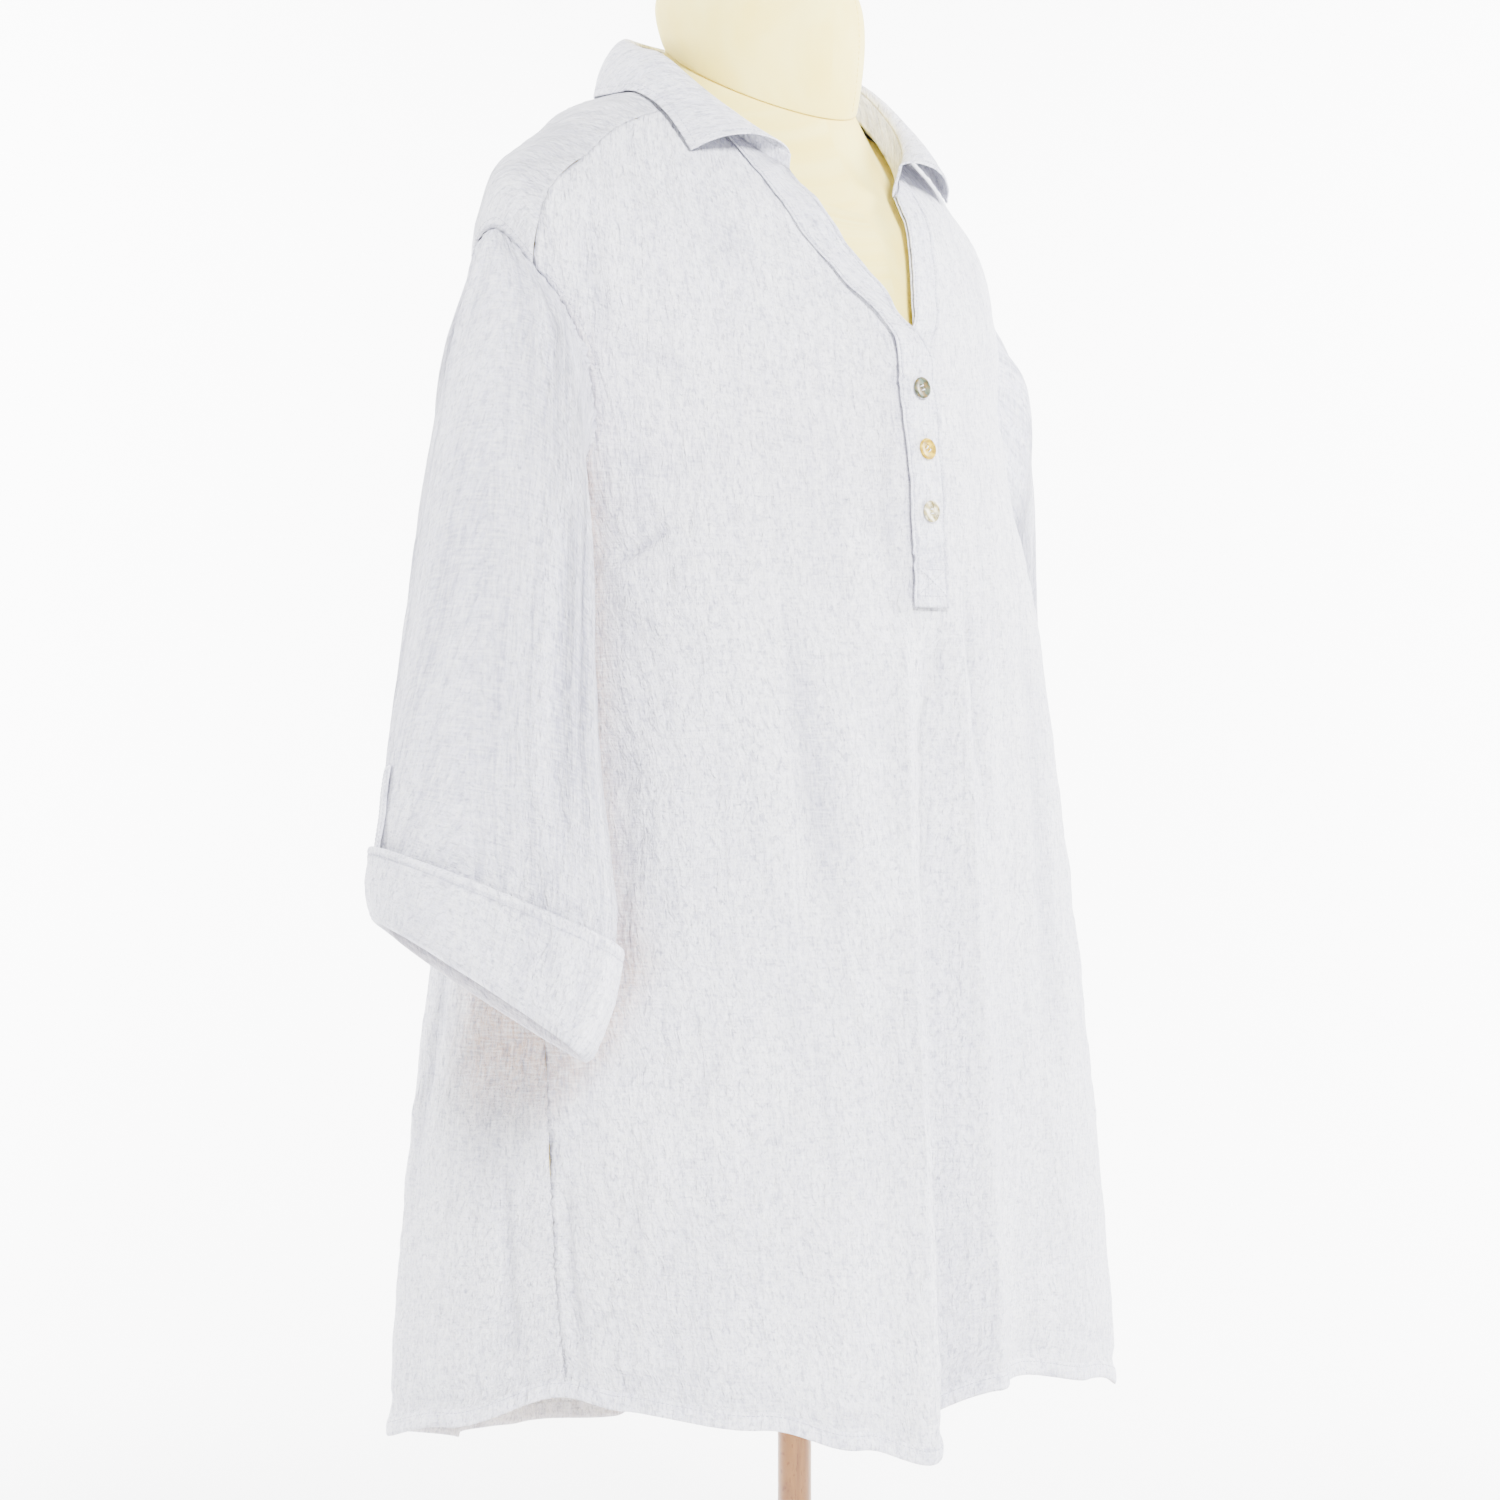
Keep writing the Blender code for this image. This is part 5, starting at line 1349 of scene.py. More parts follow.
for word, side in (("right", -1), ("left", 1)):
    sleeve, sleeve_area = make_sleeve(f"sleeve_{word}_cloth", side)
    dress(sleeve, "voile", f"sleeve_{word}")
    print(sleeve.name, round(sleeve_area, 3), "square metres")

# %% [markdown]
# Each cuff is the sleeve's end turned up twice. The outer layer stands off the sleeve, and the
# roll at the mouth shows the edges of its layers.

# %% Cuffs
CuffPoint = namedtuple("CuffPoint", "along out")
CUFF_STITCH = CuffPoint(8.545, 4.8)
CUFF_PROFILE = [
    CuffPoint(8.40, 3.2),
    CuffPoint(8.38, 4.1),
    CuffPoint(8.40, 5.1),
    CuffPoint(8.45, 5.6),
    CuffPoint(8.51, 5.5),
    CUFF_STITCH,
    CuffPoint(8.58, 5.4),
    CuffPoint(8.66, 5.2),
    CuffPoint(8.85, 5.2),
    CuffPoint(9.10, 5.4),
    CuffPoint(9.35, 5.1),
    CuffPoint(9.60, 4.9),
    CuffPoint(9.72, 4.5),
    CuffPoint(9.80, 4.7),
    CuffPoint(9.88, 4.1),
    CuffPoint(9.94, 4.2),
    CuffPoint(10.02, 3.3),
    CuffPoint(10.05, 2.6),
    CuffPoint(10.10, 1.2),
    CuffPoint(10.09, -0.6),
    CuffPoint(10.04, -2.2),
    CuffPoint(9.95, -3.3),
    CuffPoint(9.82, -3.9),
    CuffPoint(9.60, -4.1),
]
CUFF_CREASES = [
    SleeveCrease("slant, rear", -30, 8.5, -20, 9.0, -12, 9.8, 5.0, -1.2),
    SleeveCrease("slant, middle", 6, 8.5, 14, 9.1, 20, 9.8, 6.0, 1.0),
    SleeveCrease("slant, front", 40, 8.5, 50, 9.0, 56, 9.8, 5.0, -1.4),
    SleeveCrease("front fold", 84, 8.5, 87, 9.1, 88, 9.9, 4.0, 1.6),
    SleeveCrease("behind the front fold", 72, 8.5, 74, 9.1, 76, 9.9, 4.5, -1.5),
    SleeveCrease("inner side", 150, 8.5, 146, 9.1, 140, 9.8, 7.0, -1.2),
    SleeveCrease("rear side", 230, 8.5, 236, 9.1, 242, 9.8, 7.0, 1.2),
    SleeveCrease("rear fold", 280, 8.5, 283, 9.1, 286, 9.9, 4.0, 1.2),
]

EDGE_PUCKERS = 48


def cuff_crease(side, turn, along):
    out = tube_creases(CUFF_CREASES, turn, along)
    down = along * SLEEVE_RING_MM
    across, over = tube_places(turn, along)
    edge = np.sin(np.radians(turn) * EDGE_PUCKERS + 1.4 * waves(across, over, 71 + side, 30.0))
    out += 0.22 * edge * np.exp(-((down - 8.55 * SLEEVE_RING_MM) / 4.0) ** 2)
    out += 0.20 * edge * np.exp(-((down - 9.95 * SLEEVE_RING_MM) / 5.0) ** 2)
    return out + 0.4 * waves(across, over, 74 + side, 36.0)


def make_cuff(name, side):
    turn = np.linspace(0, 360, FINE_TURNS + 1)[None, :]
    along = np.array([row.along for row in CUFF_PROFILE])[:, None]
    out = np.array([row.out for row in CUFF_PROFILE])[:, None]
    turn, along, out = np.broadcast_arrays(turn, along, out)
    crease = np.where(out > 0, cuff_crease(side, turn, along), 0)
    # Painted shade: dark and warm on the layers turned inside the mouth, and in the creases and at
    # the stitching.
    inside = np.clip(-out / 3.0, 0, 1)
    hollow = painted_fold_and_seam_shade(crease, (along - CUFF_STITCH.along) * SLEEVE_RING_MM) + inside
    out = out + crease
    points = sleeve_out(side, turn, along, out)
    uv = np.stack([turn * sleeve_girth(along) / 360, along * SLEEVE_RING_MM + out], axis=-1) * MM
    faces = grid_faces(len(CUFF_PROFILE), FINE_TURNS + 1, flip=side < 0)
    item = make_object(name, points, faces, VOILE_DOUBLED, uv, 0.6 * inside,
                       np.clip(hollow, 0, 1))
    item = thicken(join_ends(item))
    return item, grid_area(points)


for word, side in (("right", -1), ("left", 1)):
    cuff, cuff_area = make_cuff(f"cuff_{word}_cloth", side)
    dress(cuff, "voile doubled", f"cuff_{word}")
    print(cuff.name, round(cuff_area, 3), "square metres")

# %% [markdown]
# A roll tab comes down the rear of each sleeve and tucks under the turned-up cuff.

# %% Tabs
TAB_TURN = 302.0
TAB_HALF_TURN = 7.0
TAB_TOP = 6.7
TAB_END = 8.62
TAB_OUT = 1.9


def tab_grid(rows, columns, lift=0.0):
    share = np.linspace(0, 1, rows)[:, None]
    half = TAB_HALF_TURN * (1 - 0.3 * smooth((share - 0.5) * 2))
    turn = TAB_TURN + half * np.linspace(-1, 1, columns)[None, :]
    along = np.broadcast_to(TAB_TOP + (TAB_END - TAB_TOP) * share, turn.shape)
    out = TAB_OUT + lift + 0.35 * np.sin(share * 9.0) * np.ones_like(turn)
    return turn, along, out


for word, side in (("right", -1), ("left", 1)):
    turn, along, out = tab_grid(44, 12)
    points = sleeve_out(side, turn, along, out)
    faces = grid_faces(44, 12, flip=side < 0)
    tab = thicken(make_object(f"tab_{word}_cloth", points, faces, VOILE_DOUBLED,
                              flat_lengths(points)), 1.0)
    dress(tab, "voile doubled", f"tab_{word}")
    print(tab.name, round(grid_area(points) * 1e4, 1), "square centimetres")

# %% [markdown]
# The collar stands on a band and turns down over it. Its leaf is a curved sheet from the band's
# top edge, over a soft roll, to a topstitched edge with two points.

# %% Collar
LEAF_GAP = 0.9
CLOTH = 1.2
LEAF_ROWS = 170
LEAF_SHARES = np.concatenate([np.linspace(0, 0.84, 18), np.linspace(0.86, 1.0, 15)])
LEAF_EDGE_INSET = 4.5
STAND_ROWS = 150
STAND_STEPS = 9


def collar_places(count):
    return table_at(COLLAR, np.linspace(0, len(COLLAR) - 1, count))


def neck_out(angle):
    flat = body_at(angle, np.full(np.shape(angle), NECK_LEVEL)) - placed(0.0, 0.0, 0.0)
    flat[..., 2] = 0
    return unit(flat)


def leaf_points(count, shares):
    """Lines of the leaf, from the stand over the roll to the edge, one for each place."""
    place = collar_places(count)
    out = neck_out(place.angle)
    up = np.array([0.0, 0.0, 1.0])
    neck = np.full(count, NECK_LEVEL)
    foot = body_at(place.angle, neck) + out * ((place.lean - CLOTH) * MM)[:, None]
    start = foot + up * ((place.rise - LEAF_ROLL + LEAF_GAP) * MM)[:, None]
    wave = 0.9 * np.sin(np.radians(place.angle) * 5 + 0.6)
    edge = body_out(place.edge_angle, place.edge_level, COLLAR_LIFT + wave)
    chord = edge - start
    fall = np.linalg.norm(chord, axis=-1, keepdims=True)
    first = start + up * (LEAF_ROLL * 2.2 * MM) + out * (0.2 * MM)
    second = edge + (body_normal(place.edge_angle, place.edge_level) * 0.42
                     - chord / fall * 0.45) * fall
    t = shares[None, :, None]
    return (
        start[:, None] * (1 - t) ** 3
        + first[:, None] * (3 * t * (1 - t) ** 2)
        + second[:, None] * (3 * t**2 * (1 - t))
        + edge[:, None] * t**3
    )


def grid_normals(points):
    down = np.gradient(points, axis=1)
    around = np.gradient(points, axis=0)
    return unit(np.cross(around, down))


def make_collar():
    points = leaf_points(LEAF_ROWS, LEAF_SHARES)
    uv = flat_lengths(points)[..., ::-1]
    run, fall = uv[..., 0] / MM, uv[..., 1] / MM
    from_edge = fall[:, -1:] - fall
    out = (0.4 * waves(run, fall, 81, 34.0) + 0.2 * waves(run, fall, 83, 12.0)) * LEAF_SHARES
    near_edge = np.exp(-((from_edge / 5.0) ** 2))
    out = out + near_edge * (0.25 + 0.22 * np.sin(2 * np.pi * run / 8.0 + 1.3 * np.sin(run / 19)))
    out = out - 0.45 * np.exp(-(((from_edge - LEAF_EDGE_INSET) / 0.8) ** 2))
    points = points + grid_normals(points) * out[..., None] * MM
    faces = grid_faces(LEAF_ROWS, len(LEAF_SHARES), flip=True)
    leaf = make_object("collar_leaf", points, faces, VOILE_DOUBLED, uv)
    return thicken(leaf, 0.9), points


collar_leaf, leaf_grid = make_collar()
dress(collar_leaf, "voile doubled", "collar")


def stand_grid(rows, steps):
    place = collar_places(rows)
    out = neck_out(place.angle)
    foot = body_at(place.angle, np.full(rows, NECK_LEVEL)) + np.array([0, 0, 0.3 * MM])
    share = np.linspace(0, 1, steps + 1)[None, :]
    lean = place.lean[:, None] * share**1.5
    rise = (place.rise[:, None] - LEAF_ROLL) * share
    run = np.radians(place.angle)[:, None] * 78
    lean = lean + 0.35 * np.sin(run / 5.5 + 2 * share) * np.sin(np.pi * share)
    return foot[:, None] + out[:, None] * lean[..., None] * MM + rise[..., None] * np.array(
        [0, 0, MM])


stand_points = stand_grid(STAND_ROWS, STAND_STEPS)
collar_band = thicken(make_object(
    "collar_band", stand_points, grid_faces(STAND_ROWS, STAND_STEPS + 1),
    VOILE_DOUBLED, flat_lengths(stand_points)[..., ::-1]), 1.0)
dress(collar_band, "voile doubled", "collar_stand")
print("collar", round(grid_area(leaf_grid), 4), "band", round(grid_area(stand_points), 4))

# %% [markdown]
# The placket is two strips. The upper one carries the buttons and runs on as the band round the
# right side of the V. It has sagged into cross wrinkles above its box-stitched foot.

# %% Placket and bands
PLACKET_FOOT = 3.88
EDGE_INSET = 2.2          # mm from a strip's edge to its stitching
BAND_TOP = 12.98
STRIP_EDGE_PLACES = [0, 0.4, 0.9, 1.4, 1.8, 2.2, 2.6, 3.0, 3.6, 4.6, 6.5, 9.0, 11.5]
STRIP_SHARES = np.array(STRIP_EDGE_PLACES + [14.0]
                        + [28 - place for place in reversed(STRIP_EDGE_PLACES)]) / 28
WRINKLE_LEVELS = ((4.31, -1.5, 0.06), (4.38, 1.4, 0.05), (4.46, -1.6, 0.06), (4.56, 0.9, 0.06))


def placket_right_edges(level):
    inner = v_edge_x(-1, level)
    in_v = smooth((level - 8.9) / 1.2)
    outer = -PLACKET_HALF_WIDTH + (inner - BAND_WIDTH + PLACKET_HALF_WIDTH) * in_v
    inner = PLACKET_HALF_WIDTH + (inner - PLACKET_HALF_WIDTH) * smooth((level - 8.5) / 1.1)
    return outer, inner, BAND_OUT + BAND_STEP * (1 - smooth(level - 9.8))


def placket_left_edges(level):
    half = PLACKET_HALF_WIDTH - UNDER_STRIP_INSET
    edge = v_edge_x(1, level)
    in_v = smooth((level - 8.4) / 1.2)
    out = np.full(np.shape(level), BAND_OUT)
    return -half + (edge + half) * in_v, half + (edge + BAND_WIDTH - half) * in_v, out


def strip_wrinkles(level, share):
    """Cross wrinkles just above the placket's foot, in millimetres."""
    out = 0.25 * np.sin(level * 8.0 + 3 * share)
    for centre, depth, width in WRINKLE_LEVELS:
        out = out + depth * np.exp(-(((level - centre - 0.10 * (share - 0.5)) / width) ** 2))
    return out


def strip_points(edges_of, level, share, lift=0.0):
    """Points on a strip: a share of its width from the wearer's right, at a level."""
    level, share = np.broadcast_arrays(level, share)
    start, end, out = edges_of(level)
    out = out + lift
    if edges_of is placket_right_edges:
        out = out + strip_wrinkles(level, share)
    from_edge = np.minimum(share, 1 - share) * (end - start)
    out = out + 0.3 * np.exp(-((from_edge / 1.2) ** 2))
    out = out - 0.5 * np.exp(-(((from_edge - EDGE_INSET) / 0.6) ** 2))
    angle = angle_of(level, start + (end - start) * share)
    return body_out(angle, level, out + front_rise(angle, level))


def make_strip(name, low, edges_of, node):
    level = even_levels(low, BAND_TOP, 2.4)[:, None]
    level, share = np.broadcast_arrays(level, STRIP_SHARES[None, :])
    points = strip_points(edges_of, level, share)
    from_edge = np.minimum(share, 1 - share) * 2 * PLACKET_HALF_WIDTH
    # Painted shade along the stitch grooves, in the cross wrinkles, and a little over the whole
    # strip.
    hollow = 0.6 * np.exp(-(((from_edge - EDGE_INSET) / 0.8) ** 2))
    if edges_of is placket_right_edges:
        hollow = hollow + np.clip(-strip_wrinkles(level, share) / 1.3, 0, 1)
    strip = make_object(name, points, grid_faces(*level.shape), VOILE_DOUBLED,
                        flat_lengths(points), hollow=np.clip(0.12 + hollow, 0, 1))
    dress(thicken(strip, 0.8), "voile doubled", node)
    print(name, round(grid_area(points), 4), "square metres")
    return strip


make_strip("upper_strip", PLACKET_FOOT, placket_right_edges, "placket_right")
make_strip("under_strip", 3.95, placket_left_edges, "placket_left")

# %% [markdown]
# All sewing lines are rows of short thread stitches. Each line is given as points on the cloth
# with the cloth's outward direction, and the stitches follow it at an even pitch.

# %% Stitches
STITCH_PITCH = 2.7
STITCH_LENGTH = 1.9
THREAD_RADIUS = 0.25
STITCH_PROFILE = [(-0.5, 0.35, -0.30), (-0.30, 1.0, 0.15), (0.30, 1.0, 0.15), (0.5, 0.35, -0.30)]
THREAD_SIDES = 5


def stitch_line(points, normals, pitch=STITCH_PITCH):
    """Middles, directions and outward directions of the stitches along one line."""
    run = np.concatenate([[0], np.cumsum(np.linalg.norm(np.diff(points, axis=0), axis=1))])
    at = np.arange(pitch * 0.5 * MM, run[-1], pitch * MM)
    middle = np.stack([np.interp(at, run, points[:, k]) for k in range(3)], axis=1)
    ahead = np.stack([np.interp(at + 0.4 * MM, run, points[:, k]) for k in range(3)], axis=1)
    normal = np.stack([np.interp(at, run, normals[:, k]) for k in range(3)], axis=1)
    along = ahead - middle
    keep = np.linalg.norm(along, axis=1) > 1e-9
    return middle[keep], unit(along[keep]), unit(normal[keep])


def stitches(name, lines, pitch=STITCH_PITCH, length=STITCH_LENGTH, radius=THREAD_RADIUS):
    """One piece of thread stitches, over all the lines given."""
    rows = [stitch_line(points, normals, pitch) for points, normals in lines]
    middle, along, normal = (np.concatenate(part) for part in zip(*rows))
    side = unit(np.cross(normal, along))
    turn = 2 * np.pi * np.arange(THREAD_SIDES) / THREAD_SIDES
    rings = []
    for place, thick, lift in STITCH_PROFILE:
        centre = middle + along * (place * length * MM) + normal * (lift * radius * MM)
        round_it = (side[:, None] * np.cos(turn)[None, :, None]
                    + normal[:, None] * np.sin(turn)[None, :, None])
        rings.append(centre[:, None] + round_it * thick * radius * MM)
    points = np.stack(rings, axis=1)
    one = len(STITCH_PROFILE) * THREAD_SIDES
    shape = grid_faces(len(STITCH_PROFILE), THREAD_SIDES, closed=True, flip=True)
    shape.append(tuple(range(THREAD_SIDES)))
    shape.append(tuple(reversed(range(one - THREAD_SIDES, one))))
    faces = [tuple(one * k + v for v in face) for k in range(len(middle)) for face in shape]
    item = make_object(name, points, faces, STITCH_SHADE_THREAD)
    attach(item, "root")
    print(name, len(middle), "stitches")
    return item


def strip_line(edges_of, levels, inset_mm, from_right):
    start, end, _ = edges_of(levels)
    width = end - start
    share = inset_mm / width if from_right else 1 - inset_mm / width
    points = strip_points(edges_of, levels, share, 0.15)
    angle = angle_of(levels, start + width * share)
    return points, body_normal(angle, levels)


def grid_normals_out(points, centre=(0.0, NECK_BEHIND_POLE * MM, 0.0)):
    """Normals of a grid, turned away from an upright axis."""
    normals = grid_normals(points)
    away_from = points - np.array(centre)
    away_from[..., 2] = 0
    return normals * np.sign((normals * away_from).sum(axis=-1).mean())


def inset_line(points, normals, inset_mm, rows=slice(None)):
    """A line through a grid, at an even distance from its last column."""
    points, normals = points[rows], normals[rows]
    to_edge = np.linalg.norm(points - points[:, -1:], axis=-1) / MM
    columns = np.arange(points.shape[1])
    share = np.array([np.interp(-inset_mm, -row, columns) for row in to_edge])
    low = np.clip(np.floor(share).astype(int), 0, points.shape[1] - 2)
    part = (share - low)[:, None]
    row = np.arange(len(points))
    line = points[row, low] * (1 - part) + points[row, low + 1] * part
    return line + normals[row, low] * 0.1 * MM, normals[row, low]


# %% [markdown]
# The placket is topstitched along both edges and boxed at its foot, and the V bands along both
# of theirs. The buttonholes lie hidden under the buttons, so they aren't made.

# %% Placket stitching
BOX_TOP_LEVEL = 4.22
long_levels = np.linspace(PLACKET_FOOT + 0.07, BAND_TOP - 0.05, 260)
v_levels = np.linspace(9.3, BAND_TOP - 0.05, 130)
box_levels = np.array([PLACKET_FOOT + 0.09, BOX_TOP_LEVEL])
placket_lines = [
    strip_line(placket_right_edges, long_levels, EDGE_INSET, True),
    strip_line(placket_right_edges, long_levels, EDGE_INSET, False),
    strip_line(placket_left_edges, v_levels, EDGE_INSET, True),
    strip_line(placket_left_edges, v_levels, EDGE_INSET, False),
]
cross = np.linspace(0.08, 0.92, 14)
for level in box_levels:
    start, end, _ = placket_right_edges(np.full(14, level))
    points = strip_points(placket_right_edges, np.full(14, level), cross, 0.15)
    placket_lines.append((points, body_normal(angle_of(level, start + (end - start) * cross),
                                              np.full(14, level))))
for first, last in ((0.08, 0.92), (0.92, 0.08)):
    share = np.linspace(first, last, 20)
    level = np.linspace(box_levels[0], box_levels[1], 20)
    start, end, _ = placket_right_edges(level)
    placket_lines.append((strip_points(placket_right_edges, level, share, 0.15),
                          body_normal(angle_of(level, start + (end - start) * share), level)))
stitches("placket_stitching", placket_lines)

# %% [markdown]
# The rest of the topstitching follows the collar, band, yoke seams, armholes, hems, cuffs and
# tabs.

# %% Seam stitching
leaf_normals = grid_normals_out(leaf_grid)
collar_lines = [inset_line(leaf_grid, leaf_normals, LEAF_EDGE_INSET, slice(4, -4))]
for end_first in (False, True):
    leaf = leaf_grid[::-1] if end_first else leaf_grid
    outward = leaf_normals[::-1] if end_first else leaf_normals
    end = inset_line(leaf.transpose(1, 0, 2)[9:-8, ::-1], outward.transpose(1, 0, 2)[9:-8, ::-1],
                     LEAF_EDGE_INSET)
    collar_lines.append(end)
stitches("collar_stitching", collar_lines)

stand_normals = grid_normals_out(stand_points)
stitches("band_stitching", [(stand_points[:, 1] + stand_normals[:, 1] * 0.12 * MM,
                             stand_normals[:, 1])])

yoke_grid = GRIDS["yoke"].transpose(1, 0, 2)[:, ::-1]
body_lines = [inset_line(yoke_grid, grid_normals_out(yoke_grid), 2.0),
              inset_line(yoke_grid, grid_normals_out(yoke_grid), 6.0)]
on_armhole = (FRONT_LEVELS > UNDERARM_LEVEL + 0.1) & (FRONT_LEVELS < YOKE_FRONT_LEVEL)
on_armhole = slice(int(np.argmax(on_armhole)), int(len(on_armhole) - np.argmax(on_armhole[::-1])))
for side in (-1, 1):
    half = GRIDS["front", side]
    body_lines.append(inset_line(half, grid_normals_out(half), 5.5, on_armhole))
stitches("body_stitching", body_lines)

edge_lines = []
for angle, level, out in (front_hem_line, back_hem_line):
    edge_lines.append((body_out(angle, level, out + 0.1), body_normal(angle, level)))
for word, side in (("right", -1), ("left", 1)):
    turn = np.linspace(0, 360, 260)
    along = np.full(len(turn), CUFF_STITCH.along)
    out = CUFF_STITCH.out + cuff_crease(side, turn, along) + 0.15
    edge_lines.append((sleeve_out(side, turn, along, out), sleeve_normal(side, turn, along)))
    turn, along, out = tab_grid(60, 13, lift=0.12)
    points, normals = sleeve_out(side, turn, along, out), sleeve_normal(side, turn, along)
    for column in (2, 10):
        edge_lines.append((points[2:-2, column], normals[2:-2, column]))
    edge_lines.append((points[2, 2:-2], normals[2, 2:-2]))
stitches("hem_and_cuff_stitching", edge_lines)

# %% [markdown]
# The three shell buttons are turned discs with a dished face and four holes, and two bars of
# white thread hold each to the placket.

# %% Buttons
BUTTON_RADIUS = 6.25
BUTTON_THICKNESS = 2.0
BUTTON_LIFT = 0.45
BUTTON_SIDES = 48
HOLE_RADIUS = 0.70
HOLE_OFFSET = 1.25
BUTTON_PROFILE = [(0.0, 0.0), (0.80, 0.0), (0.96, 0.12), (1.0, 0.35), (1.0, 0.62), (0.97, 0.84),
                  (0.90, 0.97), (0.82, 0.98), (0.75, 0.90), (0.66, 0.78), (0.45, 0.72), (0.0, 0.70)]
ButtonPlace = namedtuple("ButtonPlace", "node slot height spin")
BUTTONS = [
    ButtonPlace("button_top", "shell green", 207.5, 20),
    ButtonPlace("button_middle", "shell gold", 172.0, 48),
    ButtonPlace("button_bottom", "shell cream", 136.5, 5),
]


def level_of_height(height):
    low, high = 0.5, NECK_LEVEL
    for _ in range(40):
        middle = (low + high) / 2
        below = float(table_at(SECTIONS, middle).front_height) < height
        low, high = (middle, high) if below else (low, middle)
    return (low + high) / 2


def turned(name, profile, sides, material, closed_ends=True):
    """A turned solid about its own Z axis, from radius and height in millimetres."""
    turn = 2 * np.pi * np.arange(sides) / sides
    radius = np.array([row[0] for row in profile])[:, None]
    height = np.array([row[1] for row in profile])[:, None]
    points = np.stack([radius * np.cos(turn), radius * np.sin(turn),
                       np.broadcast_to(height, (len(profile), sides))], axis=-1) * MM
    faces = grid_faces(len(profile), sides, closed=True)
    if closed_ends:
        last = (len(profile) - 1) * sides
        faces += [tuple(reversed(range(sides))), tuple(range(last, last + sides))]
    return make_object(name, points, faces, material)


def button_frame(place):
    level = level_of_height(place.height)
    rise = float(front_rise(np.zeros(1), np.full(1, level))[0])
    centre = body_out(0.0, level, BAND_OUT + BAND_STEP + BUTTON_LIFT + rise)
    facing = Vector(body_normal(0.0, level))
    turned_to = facing.to_track_quat("Z", "Y").to_matrix().to_4x4()
    spin = Matrix.Rotation(math.radians(place.spin), 4, "Z")
    return Matrix.Translation(Vector(centre)) @ turned_to @ spin


def make_button(place):
    profile = [(max(share * BUTTON_RADIUS, 0.02), depth * BUTTON_THICKNESS)
               for share, depth in BUTTON_PROFILE]
    button = turned(f"{place.node}_disc", profile, BUTTON_SIDES, SHELLS[place.node])
    drills = []
    for x in (-1, 1):
        for y in (-1, 1):
            drill = turned("drill", [(HOLE_RADIUS, -1.0), (HOLE_RADIUS, 3.0)], 16, STITCH_SHADE_THREAD)
            drill.location = (x * HOLE_OFFSET * MM, y * HOLE_OFFSET * MM, 0)
            drills.append(drill)
    cut = drilled(button, drills)
    cut.matrix_world = button_frame(place)
    dress(cut, place.slot, place.node)
    return cut


def drilled(item, drills):
    """The item with the drills cut away and the drills deleted."""
    for k, drill in enumerate(drills):
        cut = item.modifiers.new(f"hole {k}", "BOOLEAN")
        cut.operation = "DIFFERENCE"
        cut.object = drill
    bpy.context.view_layer.update()
    evaluated = item.evaluated_get(bpy.context.evaluated_depsgraph_get())
    mesh = bpy.data.meshes.new_from_object(evaluated)
    item.modifiers.clear()
    item.data = mesh
    for drill in drills:
        bpy.data.objects.remove(drill)
    return item


def button_threads():
    lines = []
    for place in BUTTONS:
        to_world = button_frame(place)
        for y in (-1, 1):
            ends = [(-HOLE_OFFSET, 1.0), (-HOLE_OFFSET * 0.9, 1.75), (0.0, 2.0),
                    (HOLE_OFFSET * 0.9, 1.75), (HOLE_OFFSET, 1.0)]
            for shift in (-0.16, 0.16):
                lines.append([to_world @ Vector((x * MM, (y * HOLE_OFFSET + shift) * MM, z * MM))
                              for x, z in ends])
    return lines


def thread_curves(name, lines, radius):
    curve = bpy.data.curves.new(name, "CURVE")
    curve.dimensions = "3D"
    curve.bevel_depth = radius * MM
    curve.bevel_resolution = 2
    for line in lines:
        spline_part = curve.splines.new("NURBS")
        spline_part.points.add(len(line) - 1)
        spline_part.order_u = 3
        spline_part.use_endpoint_u = True
        for point, where in zip(spline_part.points, line):
            point.co = (*where, 1.0)
    curve.materials.append(BUTTON_THREAD)
    item = bpy.data.objects.new(name, curve)
    bpy.context.scene.collection.objects.link(item)
    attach(item, "root")
    return item


for place in BUTTONS:
    button = make_button(place)
    print(button.name, len(button.data.polygons), "faces")
thread_curves("button_threads", button_threads(), 0.13)

# %% [markdown]
# The dress form is a padded body covered in cream jersey. A sewn ring marks the base of its
# neck, and plain seams run up it. Below the hips it is hidden in the blouse.

# %% Form
FORM_COLUMNS = 128
FORM_NECK_TOP = 462.0
FormRing = namedtuple("FormRing", "height half_width middle front back")
FORM_LOWER = [
    FormRing(-250, 150.0, 0, 98.0, 104.0),
    FormRing(-236, 158.0, 0, 105.0, 110.0),
    FormRing(-190, 164.0, 0, 110.0, 112.0),
    FormRing(-120, 158.0, 0, 108.0, 106.0),
    FormRing(-60, 140.0, 0, 102.0, 94.0),
    FormRing(0, 126.0, 2, 100.0, 88.0),
    FormRing(60, 137.0, 4, 114.0, 96.0),
    FormRing(110, 150.0, 6, 127.0, 106.0),
]
FormLevel = namedtuple("FormLevel", "level front_gap side_gap back_gap")
FORM_UPPER = [
    FormLevel(6.0, 6.0, 14.0, 14.0),
    FormLevel(7.0, 5.0, 16.0, 12.0),
    FormLevel(8.0, 5.0, 15.0, 9.0),
    FormLevel(9.0, 5.0, 10.0, 6.0),
    FormLevel(10.0, 5.0, 1.5, 4.0),
    FormLevel(11.0, 5.0, 1.15, 3.0),
    FormLevel(12.0, 6.0, 1.5, 3.0),
    FormLevel(12.55, 6.0, 3.5, 4.0),
    FormLevel(12.97, 5.5, 4.5, 4.5),
]
FormNeckRing = namedtuple("FormNeckRing", "radius side_drop front_drop back_drop")
